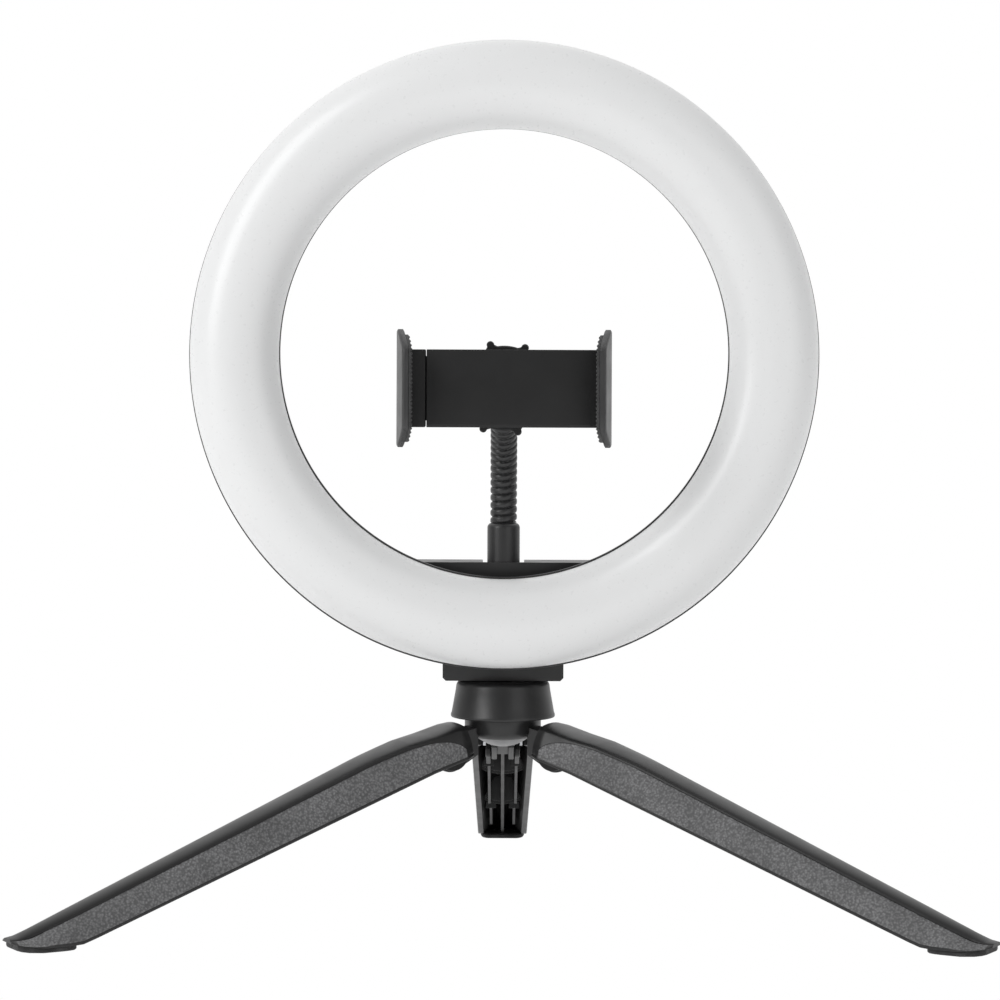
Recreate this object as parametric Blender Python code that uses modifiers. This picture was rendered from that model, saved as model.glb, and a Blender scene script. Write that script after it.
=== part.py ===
"""A table-top ring light: opal ring, rear bracket, gooseneck with a phone clamp, and a folding tripod.

Every dimension below is in millimetres. The shape helpers turn them into metres as they make a mesh.
Shapes are laid out about the tripod's vertical axis, with the table at height 0 and the front towards -Y.
The origin of the whole object lies in the middle of its footprint, behind that axis.
"""

import math

import bmesh
import bpy
import numpy as np
from mathutils import Matrix, Vector

MM = 0.001
GAP = 0.3
FORWARD = Matrix.Rotation(math.pi / 2, 4, "X")

# The tripod's axis stands this far in front of the footprint's middle.
AXIS_SHIFT = 40.15

# Tripod
LEG_ANGLES = {"rear": 90.0, "left": 210.0, "right": 330.0}
PIN_REACH = 21.0
PIN_HEIGHT = 51.0
PIN_RADIUS = 1.5
PIN_HOLE_RADIUS = 1.8
LEG_RIDGE = ((16.5, 60.7), (21.0, 59.9), (29.0, 57.7), (38.0, 55.7), (51.0, 51.4), (167.5, 4.6), (170.0, 4.2))
LEG_EDGE = ((16.5, 50.9), (51.0, 38.1), (145.5, 3.1), (150.0, 1.6), (161.0, 1.6), (167.5, 2.4), (170.0, 2.9))
LEG_HALF_WIDTH = ((16.5, 10.4), (160.0, 8.8), (165.2, 8.2), (168.4, 6.1), (170.0, 3.6))
LEG_STATIONS = (16.5, 29.0, 38.0, 51.0, 98.0, 145.5, 150.0, 161.0, 165.2, 168.4, 170.0)
LEG_WALL = 1.6
LEG_TOP_HALF_WIDTH = ((16.5, 8.6), (29.0, 8.3), (51.0, 6.6), (150.0, 4.1), (168.4, 3.2), (170.0, 2.6))
LEG_ARCH = 1.8
RIB_THICKNESS = 1.1
RIB_BURY = 1.2
BAR_HEIGHT = 2.4
TIE_REACH = 30.0
TIE_HEIGHT = 9.9
CROSS_RIB_RISE = 3.2
TROUGH_END = 163.5
SIDE_RIBS = ((50.0, 104.8, 4.6, 1.9), (111.0, 137.0, 4.1, 2.6))
CROSS_RIBS = (59.0, 63.1, 102.9, 107.1)
EAR_OFFSET = 4.8
EAR_THICKNESS = 1.6
EAR_RADIUS = 5.4
EAR_END = 47.0
TONGUE_THICKNESS = 7.2
TONGUE_RADIUS = 6.0
FOOT_STATIONS = ((149.9, 4.0, 0.0, 1.3), (151.5, 7.0, 0.0, 1.3), (155.0, 8.0, 0.0, 1.3),
                 (161.0, 8.0, 0.0, 1.3), (165.2, 7.1, 0.25, 1.8), (168.4, 5.0, 0.8, 2.3))
HUB_RADIUS = 12.3
HUB_BOTTOM = 55.0
HUB_TOP = 61.2
DISH_RADIUS = 8.2
DISH_DEPTH = 2.9
KNOB_BOTTOM = 61.5
KNOB_TOP = 73.2
KNOB_RADIUS_TOP = 15.2
KNOB_RADIUS_BOTTOM = 16.8
KNOB_WALL = 2.2
SCREW_RADIUS = 3.1
SCREW_TOP = 82.5

# Light ring. Depth runs backwards from the plane where the diffuser meets the casing.
RING_HEIGHT = 178.5
RING_PLANE_Y = -18.0
TUBE_MIDDLE = 85.65
DIFFUSER_HALF_WIDTH = 14.15
DIFFUSER_BULGE = 11.0
DIFFUSER_WALL = 1.6
RIM_WIDENING = 0.3
RING_STEPS = 64
BACK_DEPTH = 11.0
CASING_SCREW_RADIUS = 91.5
CASING_SCREW_ANGLES = (30, 90, 150, 210, 270, 330)
LED_COUNT = 32
LED_RADIUS = 84.0
GLAND_ANGLE = 138.0
GLAND_RADIUS = 85.65

# Bracket behind the ring
BRACKET_FRONT_Y = -6.7
BRACKET_BACK_Y = 6.0
BRACKET_WALL = 1.5
BRACKET_OUTLINE = ((-34.0, 111.6), (-34.0, 99.0), (-19.4, 90.0), (-19.4, 74.5), (-18.4, 73.5),
                   (18.4, 73.5), (19.4, 74.5), (19.4, 90.0), (34.0, 99.0), (34.0, 111.6))
COVER_THICKNESS = 1.5
BRACKET_SCREWS = ((-28.5, 104.5), (28.5, 104.5), (-14.5, 79.5), (14.5, 79.5))
SLOT_HALF_WIDTH = 6.7

# Gooseneck
NECK_BASE = 124.7
NECK_ARC = 43.4
NECK_SEGMENTS = 5
NECK_RINGS = 4
NECK_PITCH = 2.5
NECK_CREST = 4.3
NECK_GROOVE = 3.6
NECK_END_GAP = 0.7
NECK_DOME = 2.9
NECK_SIDES = 12
SOCKET_RADIUS = 5.25
BALL_RADIUS = 4.0
BALL_REACH = 8.5

# Phone clamp. Depth here runs forwards from the ball's middle.
CUP_RADIUS = 7.6
CUP_FRONT = 6.4
NUT_RADIUS = 13.3
NUT_BORE = 7.9
NUT_BACK = -2.2
NUT_FRONT = 4.6
LOBE_CIRCLE = 14.2
LOBE_RADIUS = 1.2
LOBE_COUNT = 8
LOBE_TURN = 17.8
PLATE_BACK = 8.4
PLATE_FRONT = 13.2
PLATE_HALF_HEIGHT = 12.05
PLATE_LEFT = -24.0
PLATE_RIGHT = 32.0
PLATE_WALL = 1.5
REST_END = 28.0
REST_STEP = 0.3
CAVITY_RIGHT = 24.0
TONGUE_END = 13.0
ARM_END = 5.5
JAW_HALF_HEIGHT = 18.3
JAW_OUTLINE = ((33.4, 6.7), (33.4, 8.7), (31.2, 22.5), (29.3, 22.5), (31.5, 8.7), (31.5, 6.7))
PAD_LENGTH = 8.6
PAD_THICKNESS = 1.2
PAD_HALF_HEIGHT = 16.6
PAD_TOOTH = 0.45
PAD_TEETH = 16
COVER_SCREWS = ((26.8, 8.0), (26.8, -8.0))
SPRING_TURNS = 8
SPRING_RADIUS = 1.1
SPRING_WIRE = 0.25
SPRING_HEIGHT = 7.2


# ---------------------------------------------------------------- scene and materials

def clear_scene():
    for obj in list(bpy.data.objects):
        bpy.data.objects.remove(obj, do_unlink=True)


def new_collection(name):
    collection = bpy.data.collections.new(name)
    bpy.context.scene.collection.children.link(collection)
    return collection


def new_material(name, colour, roughness, metallic=0.0):
    material = bpy.data.materials.new(name)
    material.use_nodes = True
    shader = material.node_tree.nodes["Principled BSDF"]
    shader.inputs["Base Color"].default_value = (*colour, 1.0)
    shader.inputs["Roughness"].default_value = roughness
    shader.inputs["Metallic"].default_value = metallic
    return material


clear_scene()
PARTS = new_collection("ring_light")
TOOLS = new_collection("cutters")
AXIS = bpy.data.objects.new("tripod_axis", None)
AXIS.location = (0.0, -AXIS_SHIFT * MM, 0.0)
PARTS.objects.link(AXIS)

PLASTIC = new_material("satin_black_plastic", (0.035, 0.035, 0.037), 0.42)
TEXTURED = new_material("textured_black_plastic", (0.06, 0.06, 0.062), 0.6)
OPAL = new_material("opal_diffuser", (0.85, 0.86, 0.87), 0.35)
RUBBER = new_material("black_rubber", (0.02, 0.02, 0.02), 0.75)
STEEL = new_material("zinc_plated_steel", (0.55, 0.56, 0.58), 0.3, 1.0)
BRASS = new_material("brass", (0.72, 0.55, 0.27), 0.35, 1.0)
BOARD = new_material("white_circuit_board", (0.8, 0.8, 0.78), 0.5)


# ---------------------------------------------------------------- shape helpers

def mesh_from(bm):
    bmesh.ops.recalc_face_normals(bm, faces=bm.faces)
    mesh = bpy.data.meshes.new("shape")
    bm.to_mesh(mesh)
    bm.free()
    return mesh


def evaluated_mesh(obj):
    """The object's mesh with its modifiers or curve settings worked out, welded and facing outwards."""
    bpy.context.view_layer.update()
    graph = bpy.context.evaluated_depsgraph_get()
    mesh = bpy.data.meshes.new_from_object(obj.evaluated_get(graph))
    bm = bmesh.new()
    bm.from_mesh(mesh)
    bmesh.ops.remove_doubles(bm, verts=bm.verts, dist=1e-6)
    bpy.data.meshes.remove(mesh)
    bpy.data.objects.remove(obj, do_unlink=True)
    return mesh_from(bm)


def moved(mesh, matrix=None, at=(0.0, 0.0, 0.0)):
    """Turns a mesh by a matrix, then shifts it by millimetres."""
    mesh.transform(Matrix.Translation(Vector(at) * MM) @ (matrix or Matrix.Identity(4)))
    return mesh


def merged(meshes):
    """One mesh that holds several shapes which don't meet."""
    bm = bmesh.new()
    for mesh in meshes:
        bm.from_mesh(mesh)
        bpy.data.meshes.remove(mesh)
    return mesh_from(bm)


def box(low, high):
    bm = bmesh.new()
    size = [(b - a) * MM for a, b in zip(low, high)]
    middle = [(a + b) / 2 * MM for a, b in zip(low, high)]
    matrix = Matrix.Translation(middle) @ Matrix.Diagonal((*size, 1.0))
    bmesh.ops.create_cube(bm, size=1.0, matrix=matrix)
    return mesh_from(bm)


def rod(radius, start, end, sides=24):
    """A cylinder from one point to another."""
    bm = bmesh.new()
    a = Vector(start) * MM
    b = Vector(end) * MM
    turn = (b - a).to_track_quat("Z", "Y").to_matrix().to_4x4()
    bmesh.ops.create_cone(
        bm, cap_ends=True, segments=sides, radius1=radius * MM, radius2=radius * MM,
        depth=(b - a).length, matrix=Matrix.Translation((a + b) / 2) @ turn,
    )
    return mesh_from(bm)


def turned(profile, steps=32, closed=False):
    """Turns (radius, height) points about +Z. An open profile starts and ends on the axis."""
    mesh = bpy.data.meshes.new("profile")
    verts = [(r * MM, 0.0, h * MM) for r, h in profile]
    edges = [(k, k + 1) for k in range(len(verts) - 1)]
    if closed:
        edges.append((len(verts) - 1, 0))
    mesh.from_pydata(verts, edges, [])
    obj = bpy.data.objects.new("profile", mesh)
    TOOLS.objects.link(obj)
    screw = obj.modifiers.new("turn", "SCREW")
    screw.steps = steps
    screw.render_steps = steps
    screw.use_merge_vertices = True
    screw.merge_threshold = 1e-6
    return evaluated_mesh(obj)


def plate(outline, thickness):
    """A flat outline in X and Y, thickened evenly about Z = 0."""
    curve = bpy.data.curves.new("outline", "CURVE")
    curve.dimensions = "2D"
    curve.fill_mode = "BOTH"
    curve.extrude = thickness / 2 * MM
    spline = curve.splines.new("POLY")
    spline.points.add(len(outline) - 1)
    for point, (x, y) in zip(spline.points, outline):
        point.co = (x * MM, y * MM, 0.0, 1.0)
    spline.use_cyclic_u = True
    obj = bpy.data.objects.new("outline", curve)
    TOOLS.objects.link(obj)
    return evaluated_mesh(obj)


def upright_plate(outline, thickness, y=0.0):
    """A flat outline in X and Z, thickened evenly about the given Y."""
    return moved(plate(outline, thickness), FORWARD, (0.0, y, 0.0))


def loft(sections):
    """Joins equal-length loops of points, given in millimetres, and closes both ends."""
    bm = bmesh.new()
    loops = [[bm.verts.new(Vector(p) * MM) for p in section] for section in sections]
    for low, high in zip(loops, loops[1:]):
        for k in range(len(low)):
            n = (k + 1) % len(low)
            bm.faces.new((low[k], low[n], high[n], high[k]))
    bm.faces.new(loops[0])
    bm.faces.new(loops[-1])
    return mesh_from(bm)


def arc(centre, radius, start, end, count):
    """Points along an arc, with its angles in degrees."""
    angles = np.radians(np.linspace(start, end, count))
    return [(centre[0] + radius * math.cos(a), centre[1] + radius * math.sin(a)) for a in angles]


def add_part(name, mesh, material, origin=(0.0, 0.0, 0.0)):
    """Names a mesh as a piece, with its own origin at a point given from the tripod's axis."""
    moved(mesh, at=tuple(-c for c in origin))
    mesh.name = name
    mesh.materials.clear()
    mesh.materials.append(material)
    mesh.shade_smooth()
    mesh.set_sharp_from_angle(angle=math.radians(32))
    obj = bpy.data.objects.new(name, mesh)
    obj.parent = AXIS
    obj.location = Vector(origin) * MM
    PARTS.objects.link(obj)
    return obj


def boolean(target, mesh, operation, solver):
    tool = bpy.data.objects.new(f"{target.name}_tool", mesh)
    tool.parent = AXIS
    tool.hide_render = True
    tool.display_type = "WIRE"
    TOOLS.objects.link(tool)
    modifier = target.modifiers.new(operation.lower(), "BOOLEAN")
    modifier.operation = operation
    modifier.solver = solver
    modifier.object = tool
    return target


def cut(target, mesh, solver="EXACT"):
    return boolean(target, mesh, "DIFFERENCE", solver)


def join(target, mesh, solver="EXACT"):
    return boolean(target, mesh, "UNION", solver)


# ---------------------------------------------------------------- tripod

def along(table, reach):
    """Reads a height or width of the leg at a distance from the tripod's axis."""
    return float(np.interp(reach, *zip(*table)))


def leg_section(reach, inset=0.0, drop=0.0, arch_points=7):
    """The leg's outline across its width: slanted sides that carry a narrower arched top."""
    half = along(LEG_HALF_WIDTH, reach) - inset
    shoulder = along(LEG_TOP_HALF_WIDTH, reach) - inset
    top = along(LEG_RIDGE, reach) - inset
    bottom = along(LEG_EDGE, reach) - drop
    rise = min(LEG_ARCH, 0.4 * (top - bottom))
    arch = [(shoulder * v, top - rise + rise * z) for v, z in arc((0.0, 0.0), 1.0, 180, 0, arch_points)]
    outline = [(-half, bottom), *arch, (half, bottom)]
    return [(reach, v, z) for v, z in outline]


def leg_strip(start, end, rise, bury=RIB_BURY):
    """The side outline of a rib under the leg's roof, its lower edge above the leg's own by rise."""
    breaks = sorted({start, end, *(r for r in LEG_STATIONS if start < r < end)})
    lower = [(r, along(LEG_EDGE, r) + rise) for r in breaks]
    upper = [(r, along(LEG_RIDGE, r) - bury) for r in reversed(breaks)]
    return lower + upper


def ear_outline():
    """A hinge ear: a rib that swells round the hinge pin and hangs below the leg's edge there."""
    lug = arc((PIN_REACH, PIN_HEIGHT), EAR_RADIUS, 205, 318, 9)
    rib = leg_strip(PIN_REACH + EAR_RADIUS, EAR_END, 0.6)
    return [*lug, *rib, (PIN_REACH, along(LEG_RIDGE, PIN_REACH) - RIB_BURY), (17.0, 59.2)]


def cross_bar(reach, half_length, rise, height, thickness):
    """A short bar across a rib; it starts above the leg's lower edge by rise."""
    low = along(LEG_EDGE, reach) + rise
    return box((reach - thickness / 2, -half_length, low), (reach + thickness / 2, half_length, low + height))


def cross_rib(reach, thickness=0.9):
    """A rib across the whole trough, narrower at its top as the sides lean in."""
    edge, top = along(LEG_EDGE, reach), along(LEG_RIDGE, reach)
    half, shoulder = along(LEG_HALF_WIDTH, reach), along(LEG_TOP_HALF_WIDTH, reach)
    lean = (half - shoulder) / (top - LEG_ARCH - edge)
    foot = half - LEG_WALL / 2 - lean * CROSS_RIB_RISE
    head = shoulder - LEG_WALL / 2
    low, high = edge + CROSS_RIB_RISE, top - RIB_BURY
    rib = upright_plate([(-foot, low), (foot, low), (head, high), (-head, high)], thickness)
    return moved(rib, Matrix.Rotation(math.pi / 2, 4, "Z"), at=(reach, 0.0, 0.0))


def make_leg_mesh():
    """One leg along +X from the tripod's axis: an open trough with hinge ears and stiffening ribs."""
    leg = add_part("leg_shape", loft([leg_section(r) for r in LEG_STATIONS]), TEXTURED)
    inner = [r for r in (12.0, *LEG_STATIONS[1:]) if r < TROUGH_END]
    cut(leg, loft([leg_section(r, LEG_WALL, 3.0, 5) for r in (*inner, TROUGH_END)]))
    lengthwise = [upright_plate(leg_strip(28.5, TROUGH_END + 0.5, 0.6), 1.25)]
    bars = []
    for side in (-1, 1):
        lengthwise.append(upright_plate(ear_outline(), EAR_THICKNESS, side * EAR_OFFSET))
        for start, end, offset, bury in SIDE_RIBS:
            strip = leg_strip(start, end, 0.9, bury)
            lengthwise.append(upright_plate(strip, RIB_THICKNESS, side * offset))
            bar = cross_bar(start, 1.9, 0.7, BAR_HEIGHT, 1.0)
            bars.append(moved(bar, at=(0.0, side * offset, 0.0)))
    join(leg, merged(lengthwise))
    join(leg, merged(bars))
    tie = cross_bar(TIE_REACH, EAR_OFFSET, 0.3, TIE_HEIGHT, 1.2)
    # The EXACT solver drops the trough here, so this one join uses the other solver.
    join(leg, merged([tie, *(cross_rib(reach) for reach in CROSS_RIBS)]), "MANIFOLD")
    cut(leg, rod(PIN_HOLE_RADIUS, (PIN_REACH, -7.5, PIN_HEIGHT), (PIN_REACH, 7.5, PIN_HEIGHT), 12))
    mesh = evaluated_mesh(leg)
    mesh.name = "leg"
    return moved(mesh, at=(-PIN_REACH, 0.0, -PIN_HEIGHT))


def make_foot_mesh():
    """A foot pad along +X: a shallow boat with a flat strip to stand on."""
    sections = []
    for reach, half, bottom, top in FOOT_STATIONS:
        outline = [(-half, top), (-half, bottom + 0.6), (1.6 - half, bottom),
                   (half - 1.6, bottom), (half, bottom + 0.6), (half, top)]
        sections.append([(reach, v, z) for v, z in outline])
    return moved(loft(sections), at=(-PIN_REACH, 0.0, -PIN_HEIGHT))


def place_on_leg(name, mesh, material, angle):
    """Places a leg-shaped piece with its origin on its hinge pin."""
    obj = add_part(name, mesh.copy(), material)
    turn = math.radians(angle)
    obj.rotation_euler = (0.0, 0.0, turn)
    reach = PIN_REACH * MM
    obj.location = (reach * math.cos(turn), reach * math.sin(turn), PIN_HEIGHT * MM)


def make_legs():
    leg = make_leg_mesh()
    foot = make_foot_mesh()
    pin = rod(PIN_RADIUS, (0.0, -6.6, 0.0), (0.0, 6.6, 0.0), 12)
    for side, angle in LEG_ANGLES.items():
        place_on_leg(f"leg_{side}", leg, TEXTURED, angle)
        place_on_leg(f"foot_{side}", foot, RUBBER, angle)
        place_on_leg(f"leg_pin_{side}", pin, STEEL, angle)


def tongue_mesh(angle):
    """The hub's hinge tongue, which stands between a leg's two ears."""
    lug = arc((PIN_REACH, PIN_HEIGHT), TONGUE_RADIUS, -105, 100, 10)
    outline = lug + [(14.0, 58.4), (9.3, 59.0), (9.3, 50.0)]
    tongue = upright_plate(outline, TONGUE_THICKNESS)
    return moved(tongue, Matrix.Rotation(math.radians(angle), 4, "Z"))


def make_hub():
    profile = [(0.0, HUB_TOP), (HUB_RADIUS - 0.3, HUB_TOP), (HUB_RADIUS, HUB_TOP - 0.3),
               (HUB_RADIUS, HUB_BOTTOM + 0.6), (HUB_RADIUS - 0.6, HUB_BOTTOM), (0.0, HUB_BOTTOM)]
    hub = add_part("tripod_hub", turned(profile, 32), PLASTIC)
    for angle in LEG_ANGLES.values():
        join(hub, tongue_mesh(angle))
        turn = Matrix.Rotation(math.radians(angle), 4, "Z")
        hole = rod(PIN_HOLE_RADIUS, (PIN_REACH, -6.0, PIN_HEIGHT), (PIN_REACH, 6.0, PIN_HEIGHT), 12)
        cut(hub, moved(hole, turn))
    pocket = [(0.0, HUB_TOP + 1.0), (SCREW_RADIUS + 0.4, HUB_TOP + 1.0), (SCREW_RADIUS + 0.4, 59.4),
              (5.6, 59.4), (5.6, HUB_BOTTOM - 1.0), (0.0, HUB_BOTTOM - 1.0)]
    cut(hub, turned(pocket, 20))


def make_hub_dish():
    """A thin dished cover under the hub, bulging downwards."""
    rim = HUB_BOTTOM - GAP
    ball = (DISH_RADIUS**2 + DISH_DEPTH**2) / (2 * DISH_DEPTH)
    middle = rim - DISH_DEPTH + ball
    reaches = np.linspace(DISH_RADIUS, 0.0, 4)
    outer = [(r, middle - math.sqrt(ball**2 - r**2)) for r in reaches]
    inner = [(r, z + 0.8) for r, z in outer[1:]]
    profile = [(0.0, inner[-1][1]), *reversed(inner[:-1]), *outer]
    add_part("hub_dish", turned(profile, 24), STEEL)


def make_knob():
    top, bottom = KNOB_TOP, KNOB_BOTTOM
    bore = SCREW_RADIUS + 0.4
    shoulder = arc((KNOB_RADIUS_TOP - 1.6, top - 1.6), 1.6, 90, 12, 4)
    skirt = KNOB_RADIUS_BOTTOM
    lip = [(skirt - 0.3, bottom + 0.9), (skirt, bottom + 0.6), (skirt, bottom)]
    under = [(14.4, bottom), (13.4, top - KNOB_WALL), (6.5, top - KNOB_WALL), (6.5, bottom), (bore, bottom)]
    profile = [(bore, top), *shoulder, *lip, *under]
    add_part("tripod_knob", turned(profile, 36, closed=True), PLASTIC)


def make_tripod_screw():
    profile = [(0.0, SCREW_TOP), (SCREW_RADIUS - 0.7, SCREW_TOP), (SCREW_RADIUS, SCREW_TOP - 0.7),
               (SCREW_RADIUS, 59.1), (5.2, 59.1), (5.2, 56.0), (0.0, 56.0)]
    add_part("tripod_screw", turned(profile, 18), STEEL)


# ---------------------------------------------------------------- light ring

def ring_at(mesh):
    """Stands a shape that was turned about +Z up as part of the ring, with +Z becoming the front."""
    return moved(mesh, FORWARD, (0.0, RING_PLANE_Y, RING_HEIGHT))


def on_ring(radius, degrees_from_top):
    turn = math.radians(degrees_from_top)
    return radius * math.sin(turn), radius * math.cos(turn)


def widen_rim(mesh):
    """Makes the channel slightly wider at the foot of the ring than at its top."""
    for vertex in mesh.vertices:
        offset = math.hypot(vertex.co.x, vertex.co.y) / MM - TUBE_MIDDLE
        vertex.co.y -= RIM_WIDENING * MM * max(-1.0, min(1.0, offset / DIFFUSER_HALF_WIDTH))
    return mesh


def make_rear_casing():
    half = DIFFUSER_HALF_WIDTH + RIM_WIDENING
    outer = [(half, 0.0), (half, 1.2), (half - 1.9, 7.2), (half - 6.6, BACK_DEPTH)]
    inner = [(half - 7.6, BACK_DEPTH - 1.6), (half - 3.4, 6.2), (half - 1.15, 0.0)]
    side = [(TUBE_MIDDLE + w, -t) for w, t in outer]
    side += [(TUBE_MIDDLE - w, -t) for w, t in reversed(outer)]
    hollow = [(TUBE_MIDDLE - w, -t) for w, t in reversed(inner)]
    hollow += [(TUBE_MIDDLE + w, -t) for w, t in inner]
    mesh = widen_rim(turned(side + hollow, RING_STEPS, closed=True))
    casing = add_part("rear_casing", ring_at(mesh), PLASTIC)
    holes = []
    for angle in CASING_SCREW_ANGLES:
        x, up = on_ring(CASING_SCREW_RADIUS, angle)
        holes.append(rod(1.6, (x, -14.0, up + RING_HEIGHT), (x, -5.0, up + RING_HEIGHT), 12))
    x, up = on_ring(GLAND_RADIUS, GLAND_ANGLE)
    holes.append(rod(3.8, (x, -14.0, up + RING_HEIGHT), (x, -5.0, up + RING_HEIGHT), 18))
    cut(casing, merged(holes))


def make_diffuser():
    """An opal shell of half-round section, with a skirt inside each rim of the casing."""
    half, bulge, wall = DIFFUSER_HALF_WIDTH, DIFFUSER_BULGE, DIFFUSER_WALL
    outside = arc((0.0, 0.0), 1.0, 0, 180, 11)
    inside = arc((0.0, 0.0), 1.0, 155, 25, 5)
    skirt = half - 2.1
    profile = [(w * half, GAP + h * (bulge - GAP)) for w, h in outside]
    profile += [(-skirt, GAP), (-skirt, -2.0), (wall - skirt, -2.0)]
    profile += [(w * (half - wall), h * (bulge - wall)) for w, h in inside]
    profile += [(skirt - wall, -2.0), (skirt, -2.0), (skirt, GAP)]
    mesh = turned([(TUBE_MIDDLE + w, h) for w, h in profile], RING_STEPS, closed=True)
    add_part("diffuser", ring_at(mesh), OPAL)


def make_led_board():
    profile = [(94.0, -5.0), (94.0, -6.6), (77.0, -6.6), (77.0, -5.0)]
    board = add_part("led_board", ring_at(turned(profile, RING_STEPS, closed=True)), BOARD)
    chips = []
    for k in range(LED_COUNT):
        chip = box((LED_RADIUS - 1.8, -1.4, -5.3), (LED_RADIUS + 1.8, 1.4, -3.9))
        chips.append(moved(chip, Matrix.Rotation(2 * math.pi * k / LED_COUNT, 4, "Z")))
    join(board, ring_at(merged(chips)))
    holes = []
    for angle in CASING_SCREW_ANGLES:
        x, up = on_ring(CASING_SCREW_RADIUS, angle)
        holes.append(rod(1.5, (x, up, -9.0), (x, up, -3.0), 12))
    cut(board, ring_at(merged(holes)))


def pan_screw(head_radius, head_height, shank_radius, shank_length):
    """A pan-head screw whose head stands up from height 0 and whose shank runs down."""
    head = [(0.0, head_height), (head_radius * 0.75, head_height)]
    head += [(head_radius, head_height * 0.45), (head_radius, 0.0)]
    shank = [(shank_radius, 0.0), (shank_radius * 0.8, -shank_length), (0.0, -shank_length)]
    return turned(head + shank, 12)


def make_casing_screws():
    for number, angle in enumerate(CASING_SCREW_ANGLES, 1):
        x, up = on_ring(CASING_SCREW_RADIUS, angle)
        screw = moved(pan_screw(2.7, 1.6, 1.2, 8.0), Matrix.Rotation(math.pi, 4, "X"))
        screw = moved(screw, at=(x, up, -BACK_DEPTH - GAP))
        add_part(f"casing_screw_{number}", ring_at(screw), STEEL)


def make_cable_gland():
    """The bush that the supply cord passes through: a flange, a barrel in the casing and a short collar."""
    back = -BACK_DEPTH - GAP
    profile = [(3.4, -8.7), (3.4, back), (5.2, back), (5.2, back - 1.2), (3.5, back - 1.6),
               (3.0, back - 6.0), (1.9, back - 6.0), (1.9, -8.7)]
    x, up = on_ring(GLAND_RADIUS, GLAND_ANGLE)
    add_part("cable_gland", ring_at(moved(turned(profile, 18, closed=True), at=(x, up, 0.0))), RUBBER)


# ---------------------------------------------------------------- bracket

def inset_outline(outline, by):
    """The outline drawn in by a wall's thickness, for a shape with its middle near X = 0."""
    middle = Vector((0.0, sum(z for _, z in outline) / len(outline)))
    points = [Vector(p) for p in outline]
    inset = []
    for k, point in enumerate(points):
        before = (point - points[k - 1]).normalized()
        after = (points[(k + 1) % len(points)] - point).normalized()
        normals = [Vector((-d.y, d.x)) for d in (before, after)]
        normals = [n if n.dot(middle - point) > 0 else n for n in normals]
        shift = (normals[0] + normals[1]) / (1 + normals[0].dot(normals[1]))
        inset.append(tuple(point + shift * by))
    return inset


def make_bracket_housing():
    depth = BRACKET_BACK_Y - BRACKET_FRONT_Y
    middle = (BRACKET_BACK_Y + BRACKET_FRONT_Y) / 2
    housing = add_part("bracket_housing", upright_plate(BRACKET_OUTLINE, depth, middle), PLASTIC)
    hollow = upright_plate(inset_outline(BRACKET_OUTLINE, BRACKET_WALL), depth, middle + BRACKET_WALL)
    cut(housing, hollow)
    front = BRACKET_FRONT_Y + 0.5
    join(housing, box((-7.5, front, 74.0), (7.5, BRACKET_BACK_Y - 0.2, 89.8)))
    join(housing, box((-9.0, front, 96.0), (9.0, BRACKET_BACK_Y - 0.2, 98.0)))
    join(housing, merged([rod(2.7, (x, front, z), (x, BRACKET_BACK_Y, z), 12) for x, z in BRACKET_SCREWS]))
    cut(housing, merged([rod(1.5, (x, -2.0, z), (x, 8.0, z), 12) for x, z in BRACKET_SCREWS]))
    cut(housing, rod(4.3, (0.0, 0.0, 70.0), (0.0, 0.0, 88.0), 24))
    cut(housing, rod(SOCKET_RADIUS + GAP, (0.0, 0.0, 90.0), (0.0, 0.0, 113.0), 24))
    cut(housing, box((-SLOT_HALF_WIDTH, BRACKET_FRONT_Y + 1.2, 108.5), (SLOT_HALF_WIDTH, 8.0, 113.0)))


def make_bracket_cover():
    y = BRACKET_BACK_Y + GAP + COVER_THICKNESS / 2
    cover = add_part("bracket_cover", upright_plate(BRACKET_OUTLINE, COVER_THICKNESS, y), PLASTIC)
    cut(cover, box((-SLOT_HALF_WIDTH, 4.0, 108.5), (SLOT_HALF_WIDTH, 10.0, 113.0)))
    cut(cover, merged([rod(1.5, (x, 4.0, z), (x, 10.0, z), 12) for x, z in BRACKET_SCREWS]))


def make_bracket_screws():
    back = BRACKET_BACK_Y + 2 * GAP + COVER_THICKNESS
    for number, (x, z) in enumerate(BRACKET_SCREWS, 1):
        screw = pan_screw(2.4, 1.4, 1.1, 7.0)
        add_part(f"bracket_screw_{number}", moved(screw, FORWARD.inverted(), (x, back, z)), STEEL)


def make_thread_insert():
    profile = [(4.0, 85.0), (4.0, 73.8), (3.4, 73.8), (3.4, 85.0)]
    add_part("thread_insert", turned(profile, 24, closed=True), BRASS)


# ---------------------------------------------------------------- gooseneck

def neck_frame(s):
    """The place and lean of the neck's centre line at a distance along its arc."""
    lean = s / NECK_ARC
    y = -NECK_ARC * (1 - math.cos(lean))
    z = NECK_BASE + NECK_ARC * math.sin(lean)
    return Vector((0.0, y, z)), lean


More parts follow.
